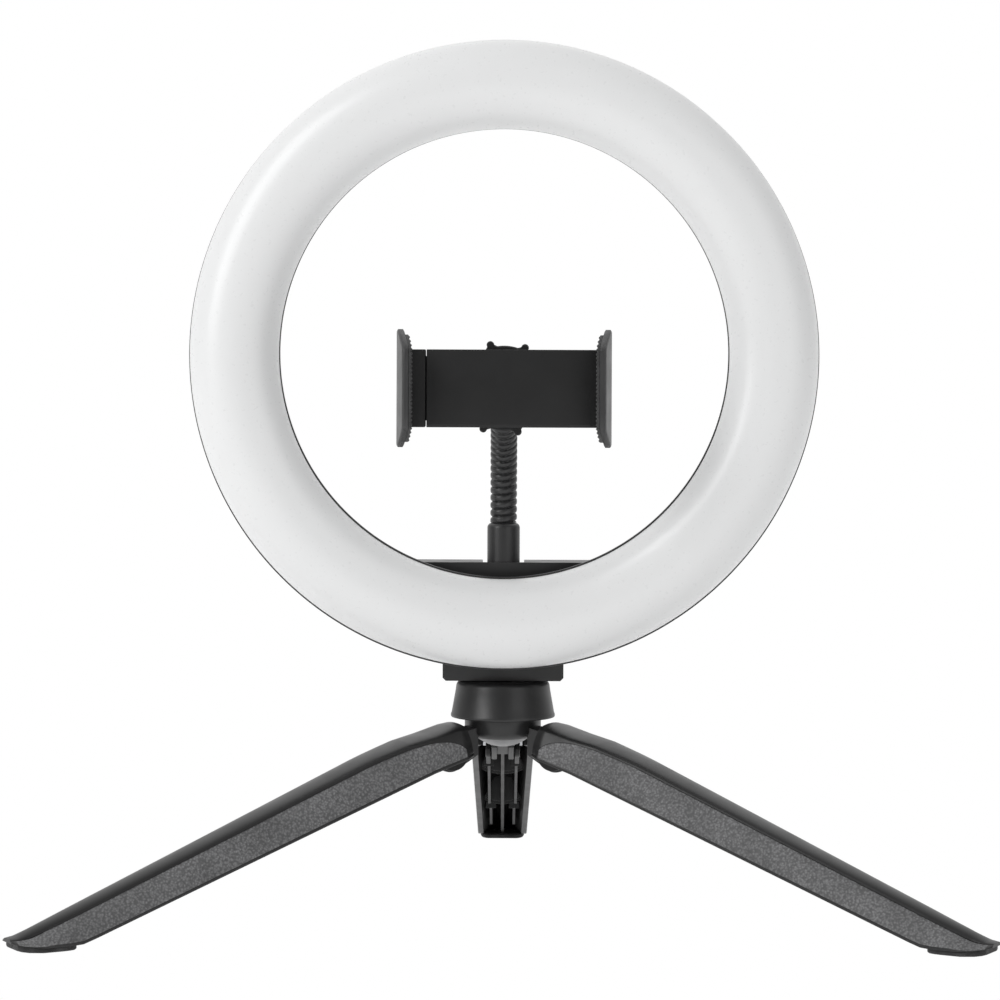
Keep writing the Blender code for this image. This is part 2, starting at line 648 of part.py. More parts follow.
def neck_tube(stations):
    """A body of round sections along the neck's arc. A radius of 0 closes it with a point."""
    bm = bmesh.new()
    loops = []
    for s, radius in stations:
        centre, lean = neck_frame(s)
        if radius == 0:
            loops.append([bm.verts.new(centre * MM)])
            continue
        turn = Matrix.Rotation(lean, 3, "X")
        angles = [2 * math.pi * k / NECK_SIDES for k in range(NECK_SIDES)]
        ring = [centre + turn @ Vector((radius * math.cos(a), radius * math.sin(a), 0.0)) for a in angles]
        loops.append([bm.verts.new(p * MM) for p in ring])
    for low, high in zip(loops, loops[1:]):
        for k in range(NECK_SIDES):
            n = (k + 1) % NECK_SIDES
            corners = [low[k % len(low)], low[n % len(low)], high[n % len(high)], high[k % len(high)]]
            bm.faces.new(list(dict.fromkeys(corners)))
    if len(loops[-1]) > 1:
        bm.faces.new(loops[-1])
    return mesh_from(bm)


def dome_stations(joint, radius):
    """Sections of a ball about a joint, from the neck's end face beside it up to the ball's top."""
    heights = (-NECK_END_GAP, 0.2 * radius, 0.7 * radius)
    return [(joint + h, math.sqrt(radius**2 - h**2)) for h in heights] + [(joint + radius, 0.0)]


def seat_stations(joint, radius):
    """Sections of the hollow that turns on that ball, from its top down to the end face."""
    heights = (0.7 * radius, NECK_END_GAP)
    return [(joint + radius, 0.0)] + [(joint + h, math.sqrt(radius**2 - h**2)) for h in heights]


def make_neck_segments():
    length = NECK_RINGS * NECK_PITCH
    for k in range(NECK_SEGMENTS):
        start, end = k * length, (k + 1) * length
        stations = seat_stations(start, NECK_DOME + GAP)
        stations.append((start + NECK_END_GAP, NECK_GROOVE - 0.05))
        for ring in range(NECK_RINGS):
            low = start + ring * NECK_PITCH
            stations += [(low + 0.4 * NECK_PITCH, NECK_CREST), (low + 0.6 * NECK_PITCH, NECK_CREST)]
            if ring < NECK_RINGS - 1:
                stations.append((low + NECK_PITCH, NECK_GROOVE))
        stations.append((end - NECK_END_GAP, NECK_GROOVE - 0.05))
        if k < NECK_SEGMENTS - 1:
            stations += dome_stations(end, NECK_DOME)
        origin, _ = neck_frame(start)
        add_part(f"neck_segment_{k + 1}", neck_tube(stations), PLASTIC, tuple(origin))


def make_neck_socket():
    top = NECK_BASE - NECK_END_GAP
    steps = ((1.0, 0.0), (0.7, 2.07), (0.2, 2.84))
    ball = [(NECK_BASE + part * NECK_DOME, r) for part, r in steps]
    profile = [(r, h) for h, r in ball] + [(2.81, top)]
    profile += arc((SOCKET_RADIUS - 1.3, top - 1.6), 1.3, 65, 0, 4)
    profile += [(SOCKET_RADIUS, 90.2), (0.0, 90.2)]
    add_part("neck_socket", turned(profile, 24), PLASTIC)


def ball_middle():
    end, lean = neck_frame(NECK_SEGMENTS * NECK_RINGS * NECK_PITCH)
    return end + Matrix.Rotation(lean, 3, "X") @ Vector((0.0, 0.0, BALL_REACH))


def make_ball_stud():
    """The ferrule on the neck's end, a short waist and the ball."""
    end, lean = neck_frame(NECK_SEGMENTS * NECK_RINGS * NECK_PITCH)
    ball = arc((0.0, BALL_REACH), BALL_RADIUS, 90, -55, 8)
    ferrule = [(2.1, 4.7), (3.6, 3.9), (4.6, 3.3), (4.6, 0.0), (0.0, 0.0)]
    profile = [(0.0, BALL_REACH + BALL_RADIUS), *ball[1:], *ferrule]
    mesh = moved(turned(profile, 20), Matrix.Rotation(lean, 4, "X"), tuple(end))
    add_part("ball_stud", mesh, STEEL, tuple(end))


# ---------------------------------------------------------------- phone clamp

BALL = tuple(ball_middle())


def clamp_at(mesh, origin=BALL):
    """Carries a shape made about the ball, with +Z forwards, to its place."""
    return moved(mesh, FORWARD, origin)


def clamp_box(x_low, x_high, depth_low, depth_high, z_low, z_high):
    """A box given by its width, its depth forwards of the ball and its height about the ball."""
    x, y, z = BALL
    return box((x + x_low, y - depth_high, z + z_low), (x + x_high, y - depth_low, z + z_high))


def make_ball_cup():
    hollow = BALL_RADIUS + GAP
    seat = arc((0.0, 0.0), hollow, 90, -13, 6)
    profile = [(0.0, CUP_FRONT), (CUP_RADIUS - 0.4, CUP_FRONT), (CUP_RADIUS, CUP_FRONT - 0.4),
               (CUP_RADIUS, -0.9), *reversed(seat[1:]), (0.0, hollow)]
    add_part("ball_cup", clamp_at(turned(profile, 24)), PLASTIC, BALL)


def make_lobed_nut():
    """A ring nut with eight round lobes for the fingers."""
    outline = []
    reach = math.degrees(math.asin(LOBE_RADIUS / LOBE_CIRCLE))
    for k in range(LOBE_COUNT):
        angle = 90.0 + LOBE_TURN + k * 360.0 / LOBE_COUNT
        centre = arc((0.0, 0.0), LOBE_CIRCLE, angle, angle, 1)[0]
        outline += arc(centre, LOBE_RADIUS, angle - 100, angle + 100, 5)
        between = (angle + reach + 4, angle + 360.0 / LOBE_COUNT - reach - 4)
        outline += arc((0.0, 0.0), NUT_RADIUS, *between, 3)
    thickness = NUT_FRONT - NUT_BACK
    nut = moved(plate(outline, thickness), at=(0.0, 0.0, (NUT_FRONT + NUT_BACK) / 2))
    nut = add_part("lobed_nut", clamp_at(nut), PLASTIC, BALL)
    cut(nut, clamp_at(rod(NUT_BORE, (0.0, 0.0, NUT_BACK - 1), (0.0, 0.0, NUT_FRONT + 1), 24)))


def jaw_mesh(side):
    """A jaw blade that leans inwards towards its front, as an outline seen from above."""
    x, y, z = BALL
    outline = [(x + side * across, y - depth) for across, depth in JAW_OUTLINE]
    return moved(plate(outline, 2 * JAW_HALF_HEIGHT), at=(0.0, 0.0, z))


def make_jaw_pad(name, side):
    """A rubber strip with small teeth, lying along the jaw's inner face."""
    (_, _), (_, _), (_, _), front, back, (_, _) = JAW_OUTLINE
    lean = math.atan2(back[0] - front[0], front[1] - back[1])
    pitch = 2 * PAD_HALF_HEIGHT / PAD_TEETH
    outline = [(0.0, -PAD_HALF_HEIGHT), (0.0, PAD_HALF_HEIGHT)]
    for k in range(PAD_TEETH):
        top = PAD_HALF_HEIGHT - k * pitch
        outline += [(-PAD_THICKNESS, top), (-PAD_THICKNESS, top - pitch / 2)]
        outline += [(PAD_TOOTH - PAD_THICKNESS, top - pitch / 2), (PAD_TOOTH - PAD_THICKNESS, top - pitch)]
    pad = upright_plate([(side * u, v) for u, v in outline], PAD_LENGTH)
    pad = moved(pad, at=(0.0, PAD_LENGTH / 2 + 0.3, 0.0))
    pad = moved(pad, Matrix.Rotation(-side * lean, 4, "Z"))
    x, y, z = BALL
    place = (x + side * (front[0] - GAP), y - front[1], z)
    add_part(name, moved(pad, at=place), RUBBER, BALL)


def make_clamp_frame():
    frame = clamp_box(PLATE_LEFT, PLATE_RIGHT, PLATE_BACK, PLATE_FRONT, -PLATE_HALF_HEIGHT, PLATE_HALF_HEIGHT)
    frame = add_part("clamp_frame", frame, PLASTIC, BALL)
    hollow = PLATE_HALF_HEIGHT - PLATE_WALL
    inside = PLATE_FRONT - PLATE_WALL
    cut(frame, clamp_box(PLATE_LEFT - 2, CAVITY_RIGHT, PLATE_BACK - 2, inside, -hollow, hollow))
    # The plate stops short of the leaning jaw with a shallow step, so a phone's flat back reaches its face.
    over = PLATE_HALF_HEIGHT + 1
    cut(frame, clamp_box(REST_END, PLATE_RIGHT + 1, PLATE_FRONT - REST_STEP, PLATE_FRONT + 1, -over, over))
    join(frame, jaw_mesh(1))
    x, y, z = BALL
    holes = [rod(0.95, (x + u, y - 12.0, z + v), (x + u, y - 6.0, z + v), 12) for u, v in COVER_SCREWS]
    cut(frame, merged(holes))


def make_clamp_back():
    back = PLATE_BACK - GAP
    cover = clamp_box(PLATE_LEFT, 31.0, CUP_FRONT + GAP, back, -PLATE_HALF_HEIGHT, PLATE_HALF_HEIGHT)
    cover = add_part("clamp_back", cover, PLASTIC, BALL)
    x, y, z = BALL
    holes = [rod(1.2, (x + u, y - 9.5, z + v), (x + u, y - 5.0, z + v), 12) for u, v in COVER_SCREWS]
    cut(cover, merged(holes))


def make_clamp_screws():
    x, y, z = BALL
    for number, (u, v) in enumerate(COVER_SCREWS, 1):
        screw = moved(pan_screw(1.9, 1.0, 0.7, 4.6), FORWARD.inverted(), (x + u, y - CUP_FRONT, z + v))
        add_part(f"clamp_screw_{number}", screw, STEEL, BALL)


def make_clamp_slider():
    """The left jaw with its edge strip and the tongue that slides inside the frame."""
    strip = clamp_box(-PLATE_RIGHT, PLATE_LEFT - GAP, 7.0, 12.8, -PLATE_HALF_HEIGHT, PLATE_HALF_HEIGHT)
    slider = add_part("clamp_slider", strip, PLASTIC, BALL)
    join(slider, jaw_mesh(-1))
    join(slider, clamp_box(PLATE_LEFT - 3, TONGUE_END, 8.9, 10.9, -10.0, 4.5))
    join(slider, clamp_box(PLATE_LEFT - 3, ARM_END, 8.9, 10.9, 3.0, 10.0))


def make_clamp_spring():
    """A pull spring between the slider's arm and the frame's far end, with a straight lead at one end."""
    curve = bpy.data.curves.new("spring", "CURVE")
    curve.dimensions = "3D"
    curve.bevel_depth = SPRING_WIRE * MM
    curve.bevel_resolution = 0
    curve.use_fill_caps = True
    start, end, per_turn = ARM_END + 2.5, CAVITY_RIGHT - 0.8, 6
    points = [(ARM_END + 0.5, 0.0, SPRING_RADIUS)]
    for k in range(SPRING_TURNS * per_turn + 1):
        turn = 2 * math.pi * k / per_turn
        across = start + (end - start) * k / (SPRING_TURNS * per_turn)
        points.append((across, SPRING_RADIUS * math.sin(turn), SPRING_RADIUS * math.cos(turn)))
    spline = curve.splines.new("POLY")
    spline.points.add(len(points) - 1)
    middle = Vector((BALL[0], BALL[1] - 10.05, BALL[2] + SPRING_HEIGHT))
    for spot, point in zip(spline.points, points):
        spot.co = (*((middle + Vector(point)) * MM), 1.0)
    obj = bpy.data.objects.new("spring", curve)
    TOOLS.objects.link(obj)
    add_part("clamp_spring", evaluated_mesh(obj), STEEL, BALL)


def build():
    make_legs()
    make_hub()
    make_hub_dish()
    make_knob()
    make_tripod_screw()
    make_rear_casing()
    make_diffuser()
    make_led_board()
    make_casing_screws()
    make_cable_gland()
    make_bracket_housing()
    make_bracket_cover()
    make_bracket_screws()
    make_thread_insert()
    make_neck_socket()
    make_neck_segments()
    make_ball_stud()
    make_ball_cup()
    make_lobed_nut()
    make_clamp_frame()
    make_clamp_back()
    make_clamp_screws()
    make_clamp_slider()
    make_jaw_pad("jaw_pad_left", -1)
    make_jaw_pad("jaw_pad_right", 1)
    make_clamp_spring()


build()
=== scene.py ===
"""The looks of the ring light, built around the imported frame. Lengths in the tables are in millimetres."""

import math

import bmesh
import bpy
import numpy as np
from mathutils import Matrix, Vector


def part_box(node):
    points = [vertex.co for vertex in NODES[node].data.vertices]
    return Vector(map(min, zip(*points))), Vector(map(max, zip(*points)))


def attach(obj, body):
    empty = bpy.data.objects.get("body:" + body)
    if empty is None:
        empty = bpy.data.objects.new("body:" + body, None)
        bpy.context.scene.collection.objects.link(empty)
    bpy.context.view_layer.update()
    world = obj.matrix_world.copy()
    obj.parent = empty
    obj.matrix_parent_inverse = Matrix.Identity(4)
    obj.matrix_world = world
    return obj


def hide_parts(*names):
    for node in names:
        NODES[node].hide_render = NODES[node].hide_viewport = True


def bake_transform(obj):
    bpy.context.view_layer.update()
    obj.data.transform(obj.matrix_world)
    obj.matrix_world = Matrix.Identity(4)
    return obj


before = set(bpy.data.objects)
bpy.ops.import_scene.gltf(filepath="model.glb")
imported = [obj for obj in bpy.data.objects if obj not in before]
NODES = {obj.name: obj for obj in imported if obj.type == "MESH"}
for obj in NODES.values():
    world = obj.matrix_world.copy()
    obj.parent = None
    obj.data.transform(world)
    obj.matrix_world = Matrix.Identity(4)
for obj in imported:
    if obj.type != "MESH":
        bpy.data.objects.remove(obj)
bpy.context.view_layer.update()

MM = 0.001
FORWARD = Matrix.Rotation(math.pi / 2, 4, "X")

# The tripod's axis, found from the knob, and the ball, found from its cup.
LOW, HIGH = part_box("tripod_knob")
AXIS = Vector(((LOW[0] + HIGH[0]) / 2, (LOW[1] + HIGH[1]) / 2, 0.0))
CUP_LOW, CUP_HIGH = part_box("ball_cup")
CUP_FRONT = 6.4
BALL = Vector((0.0, CUP_LOW[1] + CUP_FRONT * MM, (CUP_LOW[2] + CUP_HIGH[2]) / 2))

RING_CENTRE = AXIS + Vector((0.0, -18.0 * MM, 178.5 * MM))
TUBE_MIDDLE = 85.65
TUBE_HALF = 14.15
TUBE_BULGE = 11.0
TUBE_WALL = 1.6
RIM_SHIFT = 0.3
RING_STEPS = 256
SCREW_CIRCLE = 91.5

# Each leg by its direction. The tables hold a distance from the tripod's axis and a height or a half width.
LEG_ANGLES = {"rear": 90.0, "left": 210.0, "right": 330.0}
LEG_RIDGE = ((16.5, 60.7), (21.0, 59.9), (29.0, 57.7), (38.0, 55.7), (44.0, 53.75), (51.0, 51.4),
             (167.5, 4.6), (170.0, 4.2))
LEG_EDGE = ((16.5, 50.9), (51.0, 38.1), (145.5, 3.1), (150.0, 1.6), (161.0, 1.6), (167.5, 2.4), (170.0, 2.9))
LEG_HALF = ((16.5, 10.4), (160.0, 8.8), (165.2, 8.2), (168.4, 6.1), (170.0, 3.6))
LEG_TOP_HALF = ((16.5, 8.6), (29.0, 8.3), (51.0, 6.6), (150.0, 4.1), (168.4, 3.2), (170.0, 2.6))
LEG_ARCH = 1.8
LEG_WALL = 1.6
TROUGH_END = 162.5
PANEL_START = 20.0
PANEL_FULL = 32.5
PIN_REACH = 21.0
PIN_HEIGHT = 51.0
LEG_BREAKS = (29.0, 38.0, 44.0, 51.0, 145.5, 150.0, 161.0)

KNOB_TOP = 73.2
KNOB_BOTTOM = 61.5
THREAD_TURNS = 10
THREAD_PITCH = 1.25
DISH_RIM = 54.7
DISH_RADIUS = 8.2
DISH_DEPTH = 2.9

CAMERA_DISTANCE = 1.068
CAMERA_HEIGHT = 0.1785
CAMERA_LENS = 119.0
CAMERA_SHIFT = (-0.0043, -0.146)
ROLL = -0.004

NECK_BASE = 124.7
NECK_ARC = 43.4
NECK_PITCH = 2.5
SEGMENT = 10.0
NECK_END = 50.0

# Half the clamp's width at the jaws, and how far the jaws reach in front of the ball.
JAW_OUTER = 33.4
JAW_LEAN = 2.2 / 13.8
JAW_FRONT = 22.5
JAW_ROOT = 8.7

NUT_LOBES = 8
PAD_TEETH = 26
PAD_HALF = 16.6


# ---------------------------------------------------------------- materials

class Nodes:
    """A small helper that adds and links shader nodes of one material."""

    def __init__(self, name):
        self.material = bpy.data.materials.new(name)
        self.material.use_nodes = True
        self.tree = self.material.node_tree
        self.shader = self.tree.nodes["Principled BSDF"]
        self.coords = self.add("ShaderNodeTexCoord").outputs["Object"]

    def add(self, kind, **settings):
        node = self.tree.nodes.new(kind)
        for key, value in settings.items():
            setattr(node, key, value)
        return node

    def link(self, source, target):
        self.tree.links.new(source, target)

    def noise(self, scale, detail=3.0, stretch=(1.0, 1.0, 1.0), roughness=0.5):
        mapping = self.add("ShaderNodeMapping")
        mapping.inputs["Scale"].default_value = stretch
        self.link(self.coords, mapping.inputs["Vector"])
        node = self.add("ShaderNodeTexNoise")
        node.inputs["Scale"].default_value = scale
        node.inputs["Detail"].default_value = detail
        node.inputs["Roughness"].default_value = roughness
        self.link(mapping.outputs["Vector"], node.inputs["Vector"])
        return node.outputs["Fac"]

    def ramp(self, source, low, high, start=0.35, end=0.65):
        """Turns a 0 to 1 value into a run between two colours."""
        node = self.add("ShaderNodeValToRGB")
        node.color_ramp.elements[0].position = start
        node.color_ramp.elements[1].position = end
        node.color_ramp.elements[0].color = (*low, 1.0)
        node.color_ramp.elements[1].color = (*high, 1.0)
        self.link(source, node.inputs["Fac"])
        return node.outputs["Color"]

    def span(self, source, low, high, start=0.3, end=0.7):
        """Stretches part of a value's range over another range."""
        node = self.add("ShaderNodeMapRange")
        for key, value in (("From Min", start), ("From Max", end), ("To Min", low), ("To Max", high)):
            node.inputs[key].default_value = value
        self.link(source, node.inputs["Value"])
        return node.outputs["Result"]

    def mix(self, factor, first, second):
        node = self.add("ShaderNodeMix", data_type="RGBA")
        self.link(factor, node.inputs[0])
        self.link(first, node.inputs[6])
        self.link(second, node.inputs[7])
        return node.outputs[2]

    def bump(self, height, distance, strength=1.0, below=None):
        node = self.add("ShaderNodeBump")
        node.inputs["Strength"].default_value = strength
        node.inputs["Distance"].default_value = distance
        self.link(height, node.inputs["Height"])
        if below is not None:
            self.link(below, node.inputs["Normal"])
        return node.outputs["Normal"]

    def edges(self, low=0.505, high=0.56):
        """1 on the sharp outer edges, 0 elsewhere."""
        return self.span(self.add("ShaderNodeNewGeometry").outputs["Pointiness"], 0.0, 1.0, low, high)


def shade(level):
    """A near-black or grey, very slightly blue."""
    return (level, level, level * 1.02)


def plastic(name, level, rough, grain=2200.0, grain_depth=0.000012, edge_wear_and_highlight=1.5, spread=0.12, gloss=0.5):
    """Moulded black plastic: fine spark-eroded grain, faint cloudiness, and sharp edges painted lighter,
    partly rubbed wear and partly a painted highlight.
    """
    n = Nodes(name)
    cloud = n.noise(45.0, 4.0)
    base = n.ramp(cloud, shade(level * (1 - spread)), shade(level * (1 + spread)))
    # Sharp edges lighter in colour: partly rubbed wear, partly a painted highlight along the edges.
    worn_and_highlit = n.ramp(cloud, shade(level * edge_wear_and_highlight), shade(level * edge_wear_and_highlight * 1.2))
    n.link(n.mix(n.edges(), base, worn_and_highlit), n.shader.inputs["Base Color"])
    smear = n.noise(130.0, 3.0)
    n.link(n.span(smear, rough - 0.05, rough + 0.05), n.shader.inputs["Roughness"])
    fine = n.noise(grain, 2.0)
    broad = n.bump(n.noise(90.0, 2.0), 0.00003, 0.25)
    n.link(n.bump(fine, grain_depth, 0.6, broad), n.shader.inputs["Normal"])
    n.shader.inputs["IOR"].default_value = 1.49
    n.shader.inputs["Specular IOR Level"].default_value = gloss
    return n.material


def stippled(name, level):
    """The leathery stipple on the legs' side panels: small raised pebbles, their crowns painted lighter as a
    painted highlight and the hollows between them darker as painted shade.
    """
    n = Nodes(name)
    pebble = n.add("ShaderNodeTexVoronoi", feature="SMOOTH_F1")
    pebble.inputs["Scale"].default_value = 1350.0
    pebble.inputs["Randomness"].default_value = 1.0
    pebble.inputs["Smoothness"].default_value = 0.6
    n.link(n.coords, pebble.inputs["Vector"])
    grit = n.noise(1500.0, 3.0, roughness=0.65)
    height = n.add("ShaderNodeMath", operation="SUBTRACT")
    n.link(grit, height.inputs[0])
    n.link(pebble.outputs["Distance"], height.inputs[1])
    # Colour follows the pebbles' height: lighter crowns are a painted highlight, darker hollows are painted
    # shade.
    lit_crown_mask = n.span(height.outputs["Value"], 0.0, 1.0, -0.15, 0.45)
    cloud = n.noise(60.0, 4.0)
    low = n.ramp(cloud, shade(level * 0.75), shade(level * 0.95))
    high = n.ramp(cloud, shade(level * 1.75), shade(level * 2.3))
    n.link(n.mix(lit_crown_mask, low, high), n.shader.inputs["Base Color"])
    n.link(n.span(grit, 0.5, 0.68), n.shader.inputs["Roughness"])
    n.link(n.bump(height.outputs["Value"], 0.00022, 0.9), n.shader.inputs["Normal"])
    n.shader.inputs["IOR"].default_value = 1.5
    return n.material


def opal(name):
    """Satin opal acrylic: a milky body and a soft sheen over very fine moulded grain."""
    n = Nodes(name)
    milk = n.noise(18.0, 3.0)
    n.link(n.ramp(milk, (0.79, 0.795, 0.797), (0.795, 0.799, 0.80), 0.1, 0.9), n.shader.inputs["Base Color"])
    n.link(n.span(n.noise(900.0, 2.0), 0.27, 0.31), n.shader.inputs["Roughness"])
    n.link(n.bump(n.noise(3000.0, 2.0), 0.000003, 0.4), n.shader.inputs["Normal"])
    n.shader.inputs["IOR"].default_value = 1.49
    n.shader.inputs["Subsurface Weight"].default_value = 0.15
    n.shader.inputs["Subsurface Radius"].default_value = (0.003, 0.003, 0.003)
    n.shader.inputs["Coat Weight"].default_value = 0.1
    n.shader.inputs["Coat Roughness"].default_value = 0.35
    return n.material


def metal(name, low, high, rough, stretch=(1.0, 1.0, 12.0), scale=700.0):
    """Plated metal with fine drawn lines and slight tarnish."""
    n = Nodes(name)
    n.link(n.ramp(n.noise(150.0, 4.0), low, high), n.shader.inputs["Base Color"])
    lines = n.noise(scale, 3.0, stretch)
    n.link(n.span(lines, rough - 0.06, rough + 0.1), n.shader.inputs["Roughness"])
    n.link(n.bump(lines, 0.00001, 0.5), n.shader.inputs["Normal"])
    n.shader.inputs["Metallic"].default_value = 1.0
    return n.material


def rubber(name, level):
    """Soft matt rubber with dusty patches."""
    n = Nodes(name)
    dust = n.ramp(n.noise(260.0, 4.0), shade(level), shade(level * 2.2), 0.4, 0.75)
    n.link(dust, n.shader.inputs["Base Color"])
    n.link(n.span(n.noise(500.0, 2.0), 0.62, 0.85), n.shader.inputs["Roughness"])
    n.link(n.bump(n.noise(1800.0, 3.0), 0.00004, 0.6), n.shader.inputs["Normal"])
    n.shader.inputs["Sheen Weight"].default_value = 0.15
    return n.material


BODY = plastic("body_plastic", 0.015, 0.36)
PLATE = plastic("clamp_plastic", 0.009, 0.5, 2600.0, 0.00002, gloss=0.32)
JAW = plastic("jaw_plastic", 0.022, 0.38, 2400.0, 0.00002)
CASING = plastic("casing_plastic", 0.018, 0.34)
NECK = plastic("neck_plastic", 0.024, 0.36)
LEG = plastic("leg_plastic", 0.012, 0.34, 1900.0, gloss=0.38)
RIB = plastic("rib_plastic", 0.006, 0.36, 1900.0, gloss=0.3)
STIPPLE = stippled("stippled_plastic", 0.097)
OPAL = opal("opal_acrylic")
RUBBER = rubber("black_rubber", 0.02)
STEEL = metal("zinc_steel", (0.5, 0.51, 0.53), (0.66, 0.67, 0.69), 0.3)
DISH = metal("dish_steel", (0.24, 0.24, 0.245), (0.32, 0.32, 0.325), 0.42)
BRASS = metal("turned_brass", (0.6, 0.44, 0.2), (0.8, 0.62, 0.32), 0.3)
BOARD = plastic("board_mask", 0.75, 0.45, 1500.0, 0.00001, 1.0, 0.04)


# ---------------------------------------------------------------- mesh helpers

def finish_mesh(bm, material, name, smooth=35.0):
    """Makes an object of a bmesh, smooth except where faces meet at more than an angle in degrees."""
    bmesh.ops.recalc_face_normals(bm, faces=bm.faces)
    mesh = bpy.data.meshes.new(name)
    bm.to_mesh(mesh)
    bm.free()
    for each in material if isinstance(material, (list, tuple)) else (material,):
        mesh.materials.append(each)
    mesh.shade_smooth()
    mesh.set_sharp_from_angle(angle=math.radians(smooth))
    obj = bpy.data.objects.new(name, mesh)
    bpy.context.scene.collection.objects.link(obj)
    return obj


def bevel(obj, width, segments=2, angle=40.0):
    """Rounds the sharp edges by a width in millimetres."""
    modifier = obj.modifiers.new("edge", "BEVEL")
    modifier.width = width * MM
    modifier.segments = segments
    modifier.limit_method = "ANGLE"
    modifier.angle_limit = math.radians(angle)
    modifier.harden_normals = True
    return obj


def place(obj, body, nodes=()):
    """Rides a piece on its body, and hides the CAD nodes it stands for."""
    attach(obj, body)
    if nodes:
        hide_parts(*nodes)
    return obj


def paint(node, material):
    """Gives a CAD node that stays in view a material through its slots."""
    for slot in node.material_slots:
        slot.link = "OBJECT"
        slot.material = material


def circle(bm, radius, height, steps):
    """A ring of vertices about +Z, from sizes in millimetres."""
    angles = [2 * math.pi * k / steps for k in range(steps)]
    return [bm.verts.new((radius * MM * math.cos(a), radius * MM * math.sin(a), height * MM)) for a in angles]


def bridge(bm, low, high):
    """Joins two equal rings of vertices with quads."""
    for k in range(len(low)):
        n = (k + 1) % len(low)
        bm.faces.new((low[k], low[n], high[n], high[k]))


def fill_between(bm, outer, inner):
    """Fills the flat area between two closed rings of vertices."""
    edges = []
    for ring in (outer, inner):
        edges += [bm.edges.get((ring[k], ring[(k + 1) % len(ring)])) for k in range(len(ring))]
    bmesh.ops.triangle_fill(bm, use_beauty=True, edges=edges)


def lathe(name, profile, material, steps=96, closed=False, matrix=None, smooth=35.0):
    """Turns (radius, height) points about +Z and places the shape. An open profile ends on the axis."""
    bm = bmesh.new()
    rings = []
    for radius, height in profile:
        if radius < 1e-6:
            rings.append([bm.verts.new((0.0, 0.0, height * MM))])
            continue
        rings.append(circle(bm, radius, height, steps))
    pairs = list(zip(rings, rings[1:]))
    if closed:
        pairs.append((rings[-1], rings[0]))
    for low, high in pairs:
        for k in range(steps):
            n = (k + 1) % steps
            corners = [low[k % len(low)], low[n % len(low)], high[n % len(high)], high[k % len(high)]]
            bm.faces.new(list(dict.fromkeys(corners)))
    bm.transform(matrix or Matrix.Identity(4))
    return finish_mesh(bm, material, name, smooth)


def extrude_outline(bm, outline, low, high, matrix=None):
    """A prism between two heights from an outline in X and Y."""
    start = len(bm.verts)
    bottom = [bm.verts.new((x * MM, y * MM, low * MM)) for x, y in outline]
    top = [bm.verts.new((x * MM, y * MM, high * MM)) for x, y in outline]
    bm.faces.new(list(reversed(bottom)))
    bm.faces.new(top)
    bridge(bm, bottom, top)
    bm.verts.ensure_lookup_table()
    if matrix:
        bmesh.ops.transform(bm, matrix=matrix, verts=bm.verts[start:])


def arc(centre, radius, start, end, count):
    """Points on an arc between two angles in degrees."""
    angles = np.radians(np.linspace(start, end, count))
    return [(centre[0] + radius * math.cos(a), centre[1] + radius * math.sin(a)) for a in angles]


def loft(bm, sections, material_of=None, caps=True):
    """Joins equal loops of points in millimetres. material_of gives a slot number for a span of the loop."""
    loops = [[bm.verts.new(Vector(p) * MM) for p in section] for section in sections]
    count = len(loops[0])
    for s, (low, high) in enumerate(zip(loops, loops[1:])):
        for k in range(count):
            n = (k + 1) % count
            face = bm.faces.new((low[k], low[n], high[n], high[k]))
            if material_of:
                face.material_index = material_of(s, k)
    if caps:
        bm.faces.new(loops[0])
        bm.faces.new(loops[-1])


def copied(name, node, material, width=0.35, segments=2, angle=40.0):
    """A CAD node's shape as a new piece with its flat faces merged and its edges rounded."""
    bm = bmesh.new()
    bm.from_mesh(NODES[node].data)
    bmesh.ops.remove_doubles(bm, verts=bm.verts, dist=1e-6)
    bmesh.ops.dissolve_limit(bm, angle_limit=math.radians(1.0), verts=bm.verts, edges=bm.edges)
    return bevel(finish_mesh(bm, material, name), width, segments, angle)


def along(table, reach):
    """A table's value at a distance from the tripod's axis."""
    return float(np.interp(reach, *zip(*table)))


# ---------------------------------------------------------------- light ring

RING = Matrix.Translation(RING_CENTRE) @ FORWARD


def make_diffuser():
    half, bulge, wall = TUBE_HALF, TUBE_BULGE, TUBE_WALL
    outside = arc((0.0, 0.0), 1.0, 0, 180, 49)
    inside = arc((0.0, 0.0), 1.0, 160, 20, 17)
    skirt = half - 2.1
    profile = [(w * half, 0.3 + h * (bulge - 0.3)) for w, h in outside]
    profile += [(-skirt, 0.3), (-skirt, -2.0), (wall - skirt, -2.0)]
    profile += [(w * (half - wall), h * (bulge - wall)) for w, h in inside]
    profile += [(skirt - wall, -2.0), (skirt, -2.0), (skirt, 0.3)]
    points = [(TUBE_MIDDLE + w, h) for w, h in profile]
    obj = lathe("diffuser_shell", points, OPAL, RING_STEPS, True, RING, 50.0)
    place(obj, "light", ["diffuser"])


def casing_profile():
    """The channel's section: width from its middle and depth behind the rim, with a groove down its back."""
    half = TUBE_HALF + RIM_SHIFT
    outer = [(half - 0.1, 0.0), (half, -0.15), (half, -1.2), (half - 0.5, -3.2), (half - 1.15, -5.2)]
    outer += [(half - 1.9, -7.2), (half - 2.7, -8.6), (half - 4.2, -10.0), (half - 5.8, -10.8)]
    outer += [(half - 6.8, -11.0)]
    inner = [(half - 7.6, -9.4), (half - 3.4, -6.2), (half - 1.25, -0.1), (half - 1.15, 0.0)]
    groove = [(0.55, -11.0), (0.4, -10.7), (-0.4, -10.7), (-0.55, -11.0)]
    other = [(-w, t) for w, t in reversed(outer)]
    hollow = [(-w, t) for w, t in reversed(inner)] + inner
    return outer + groove + other + hollow


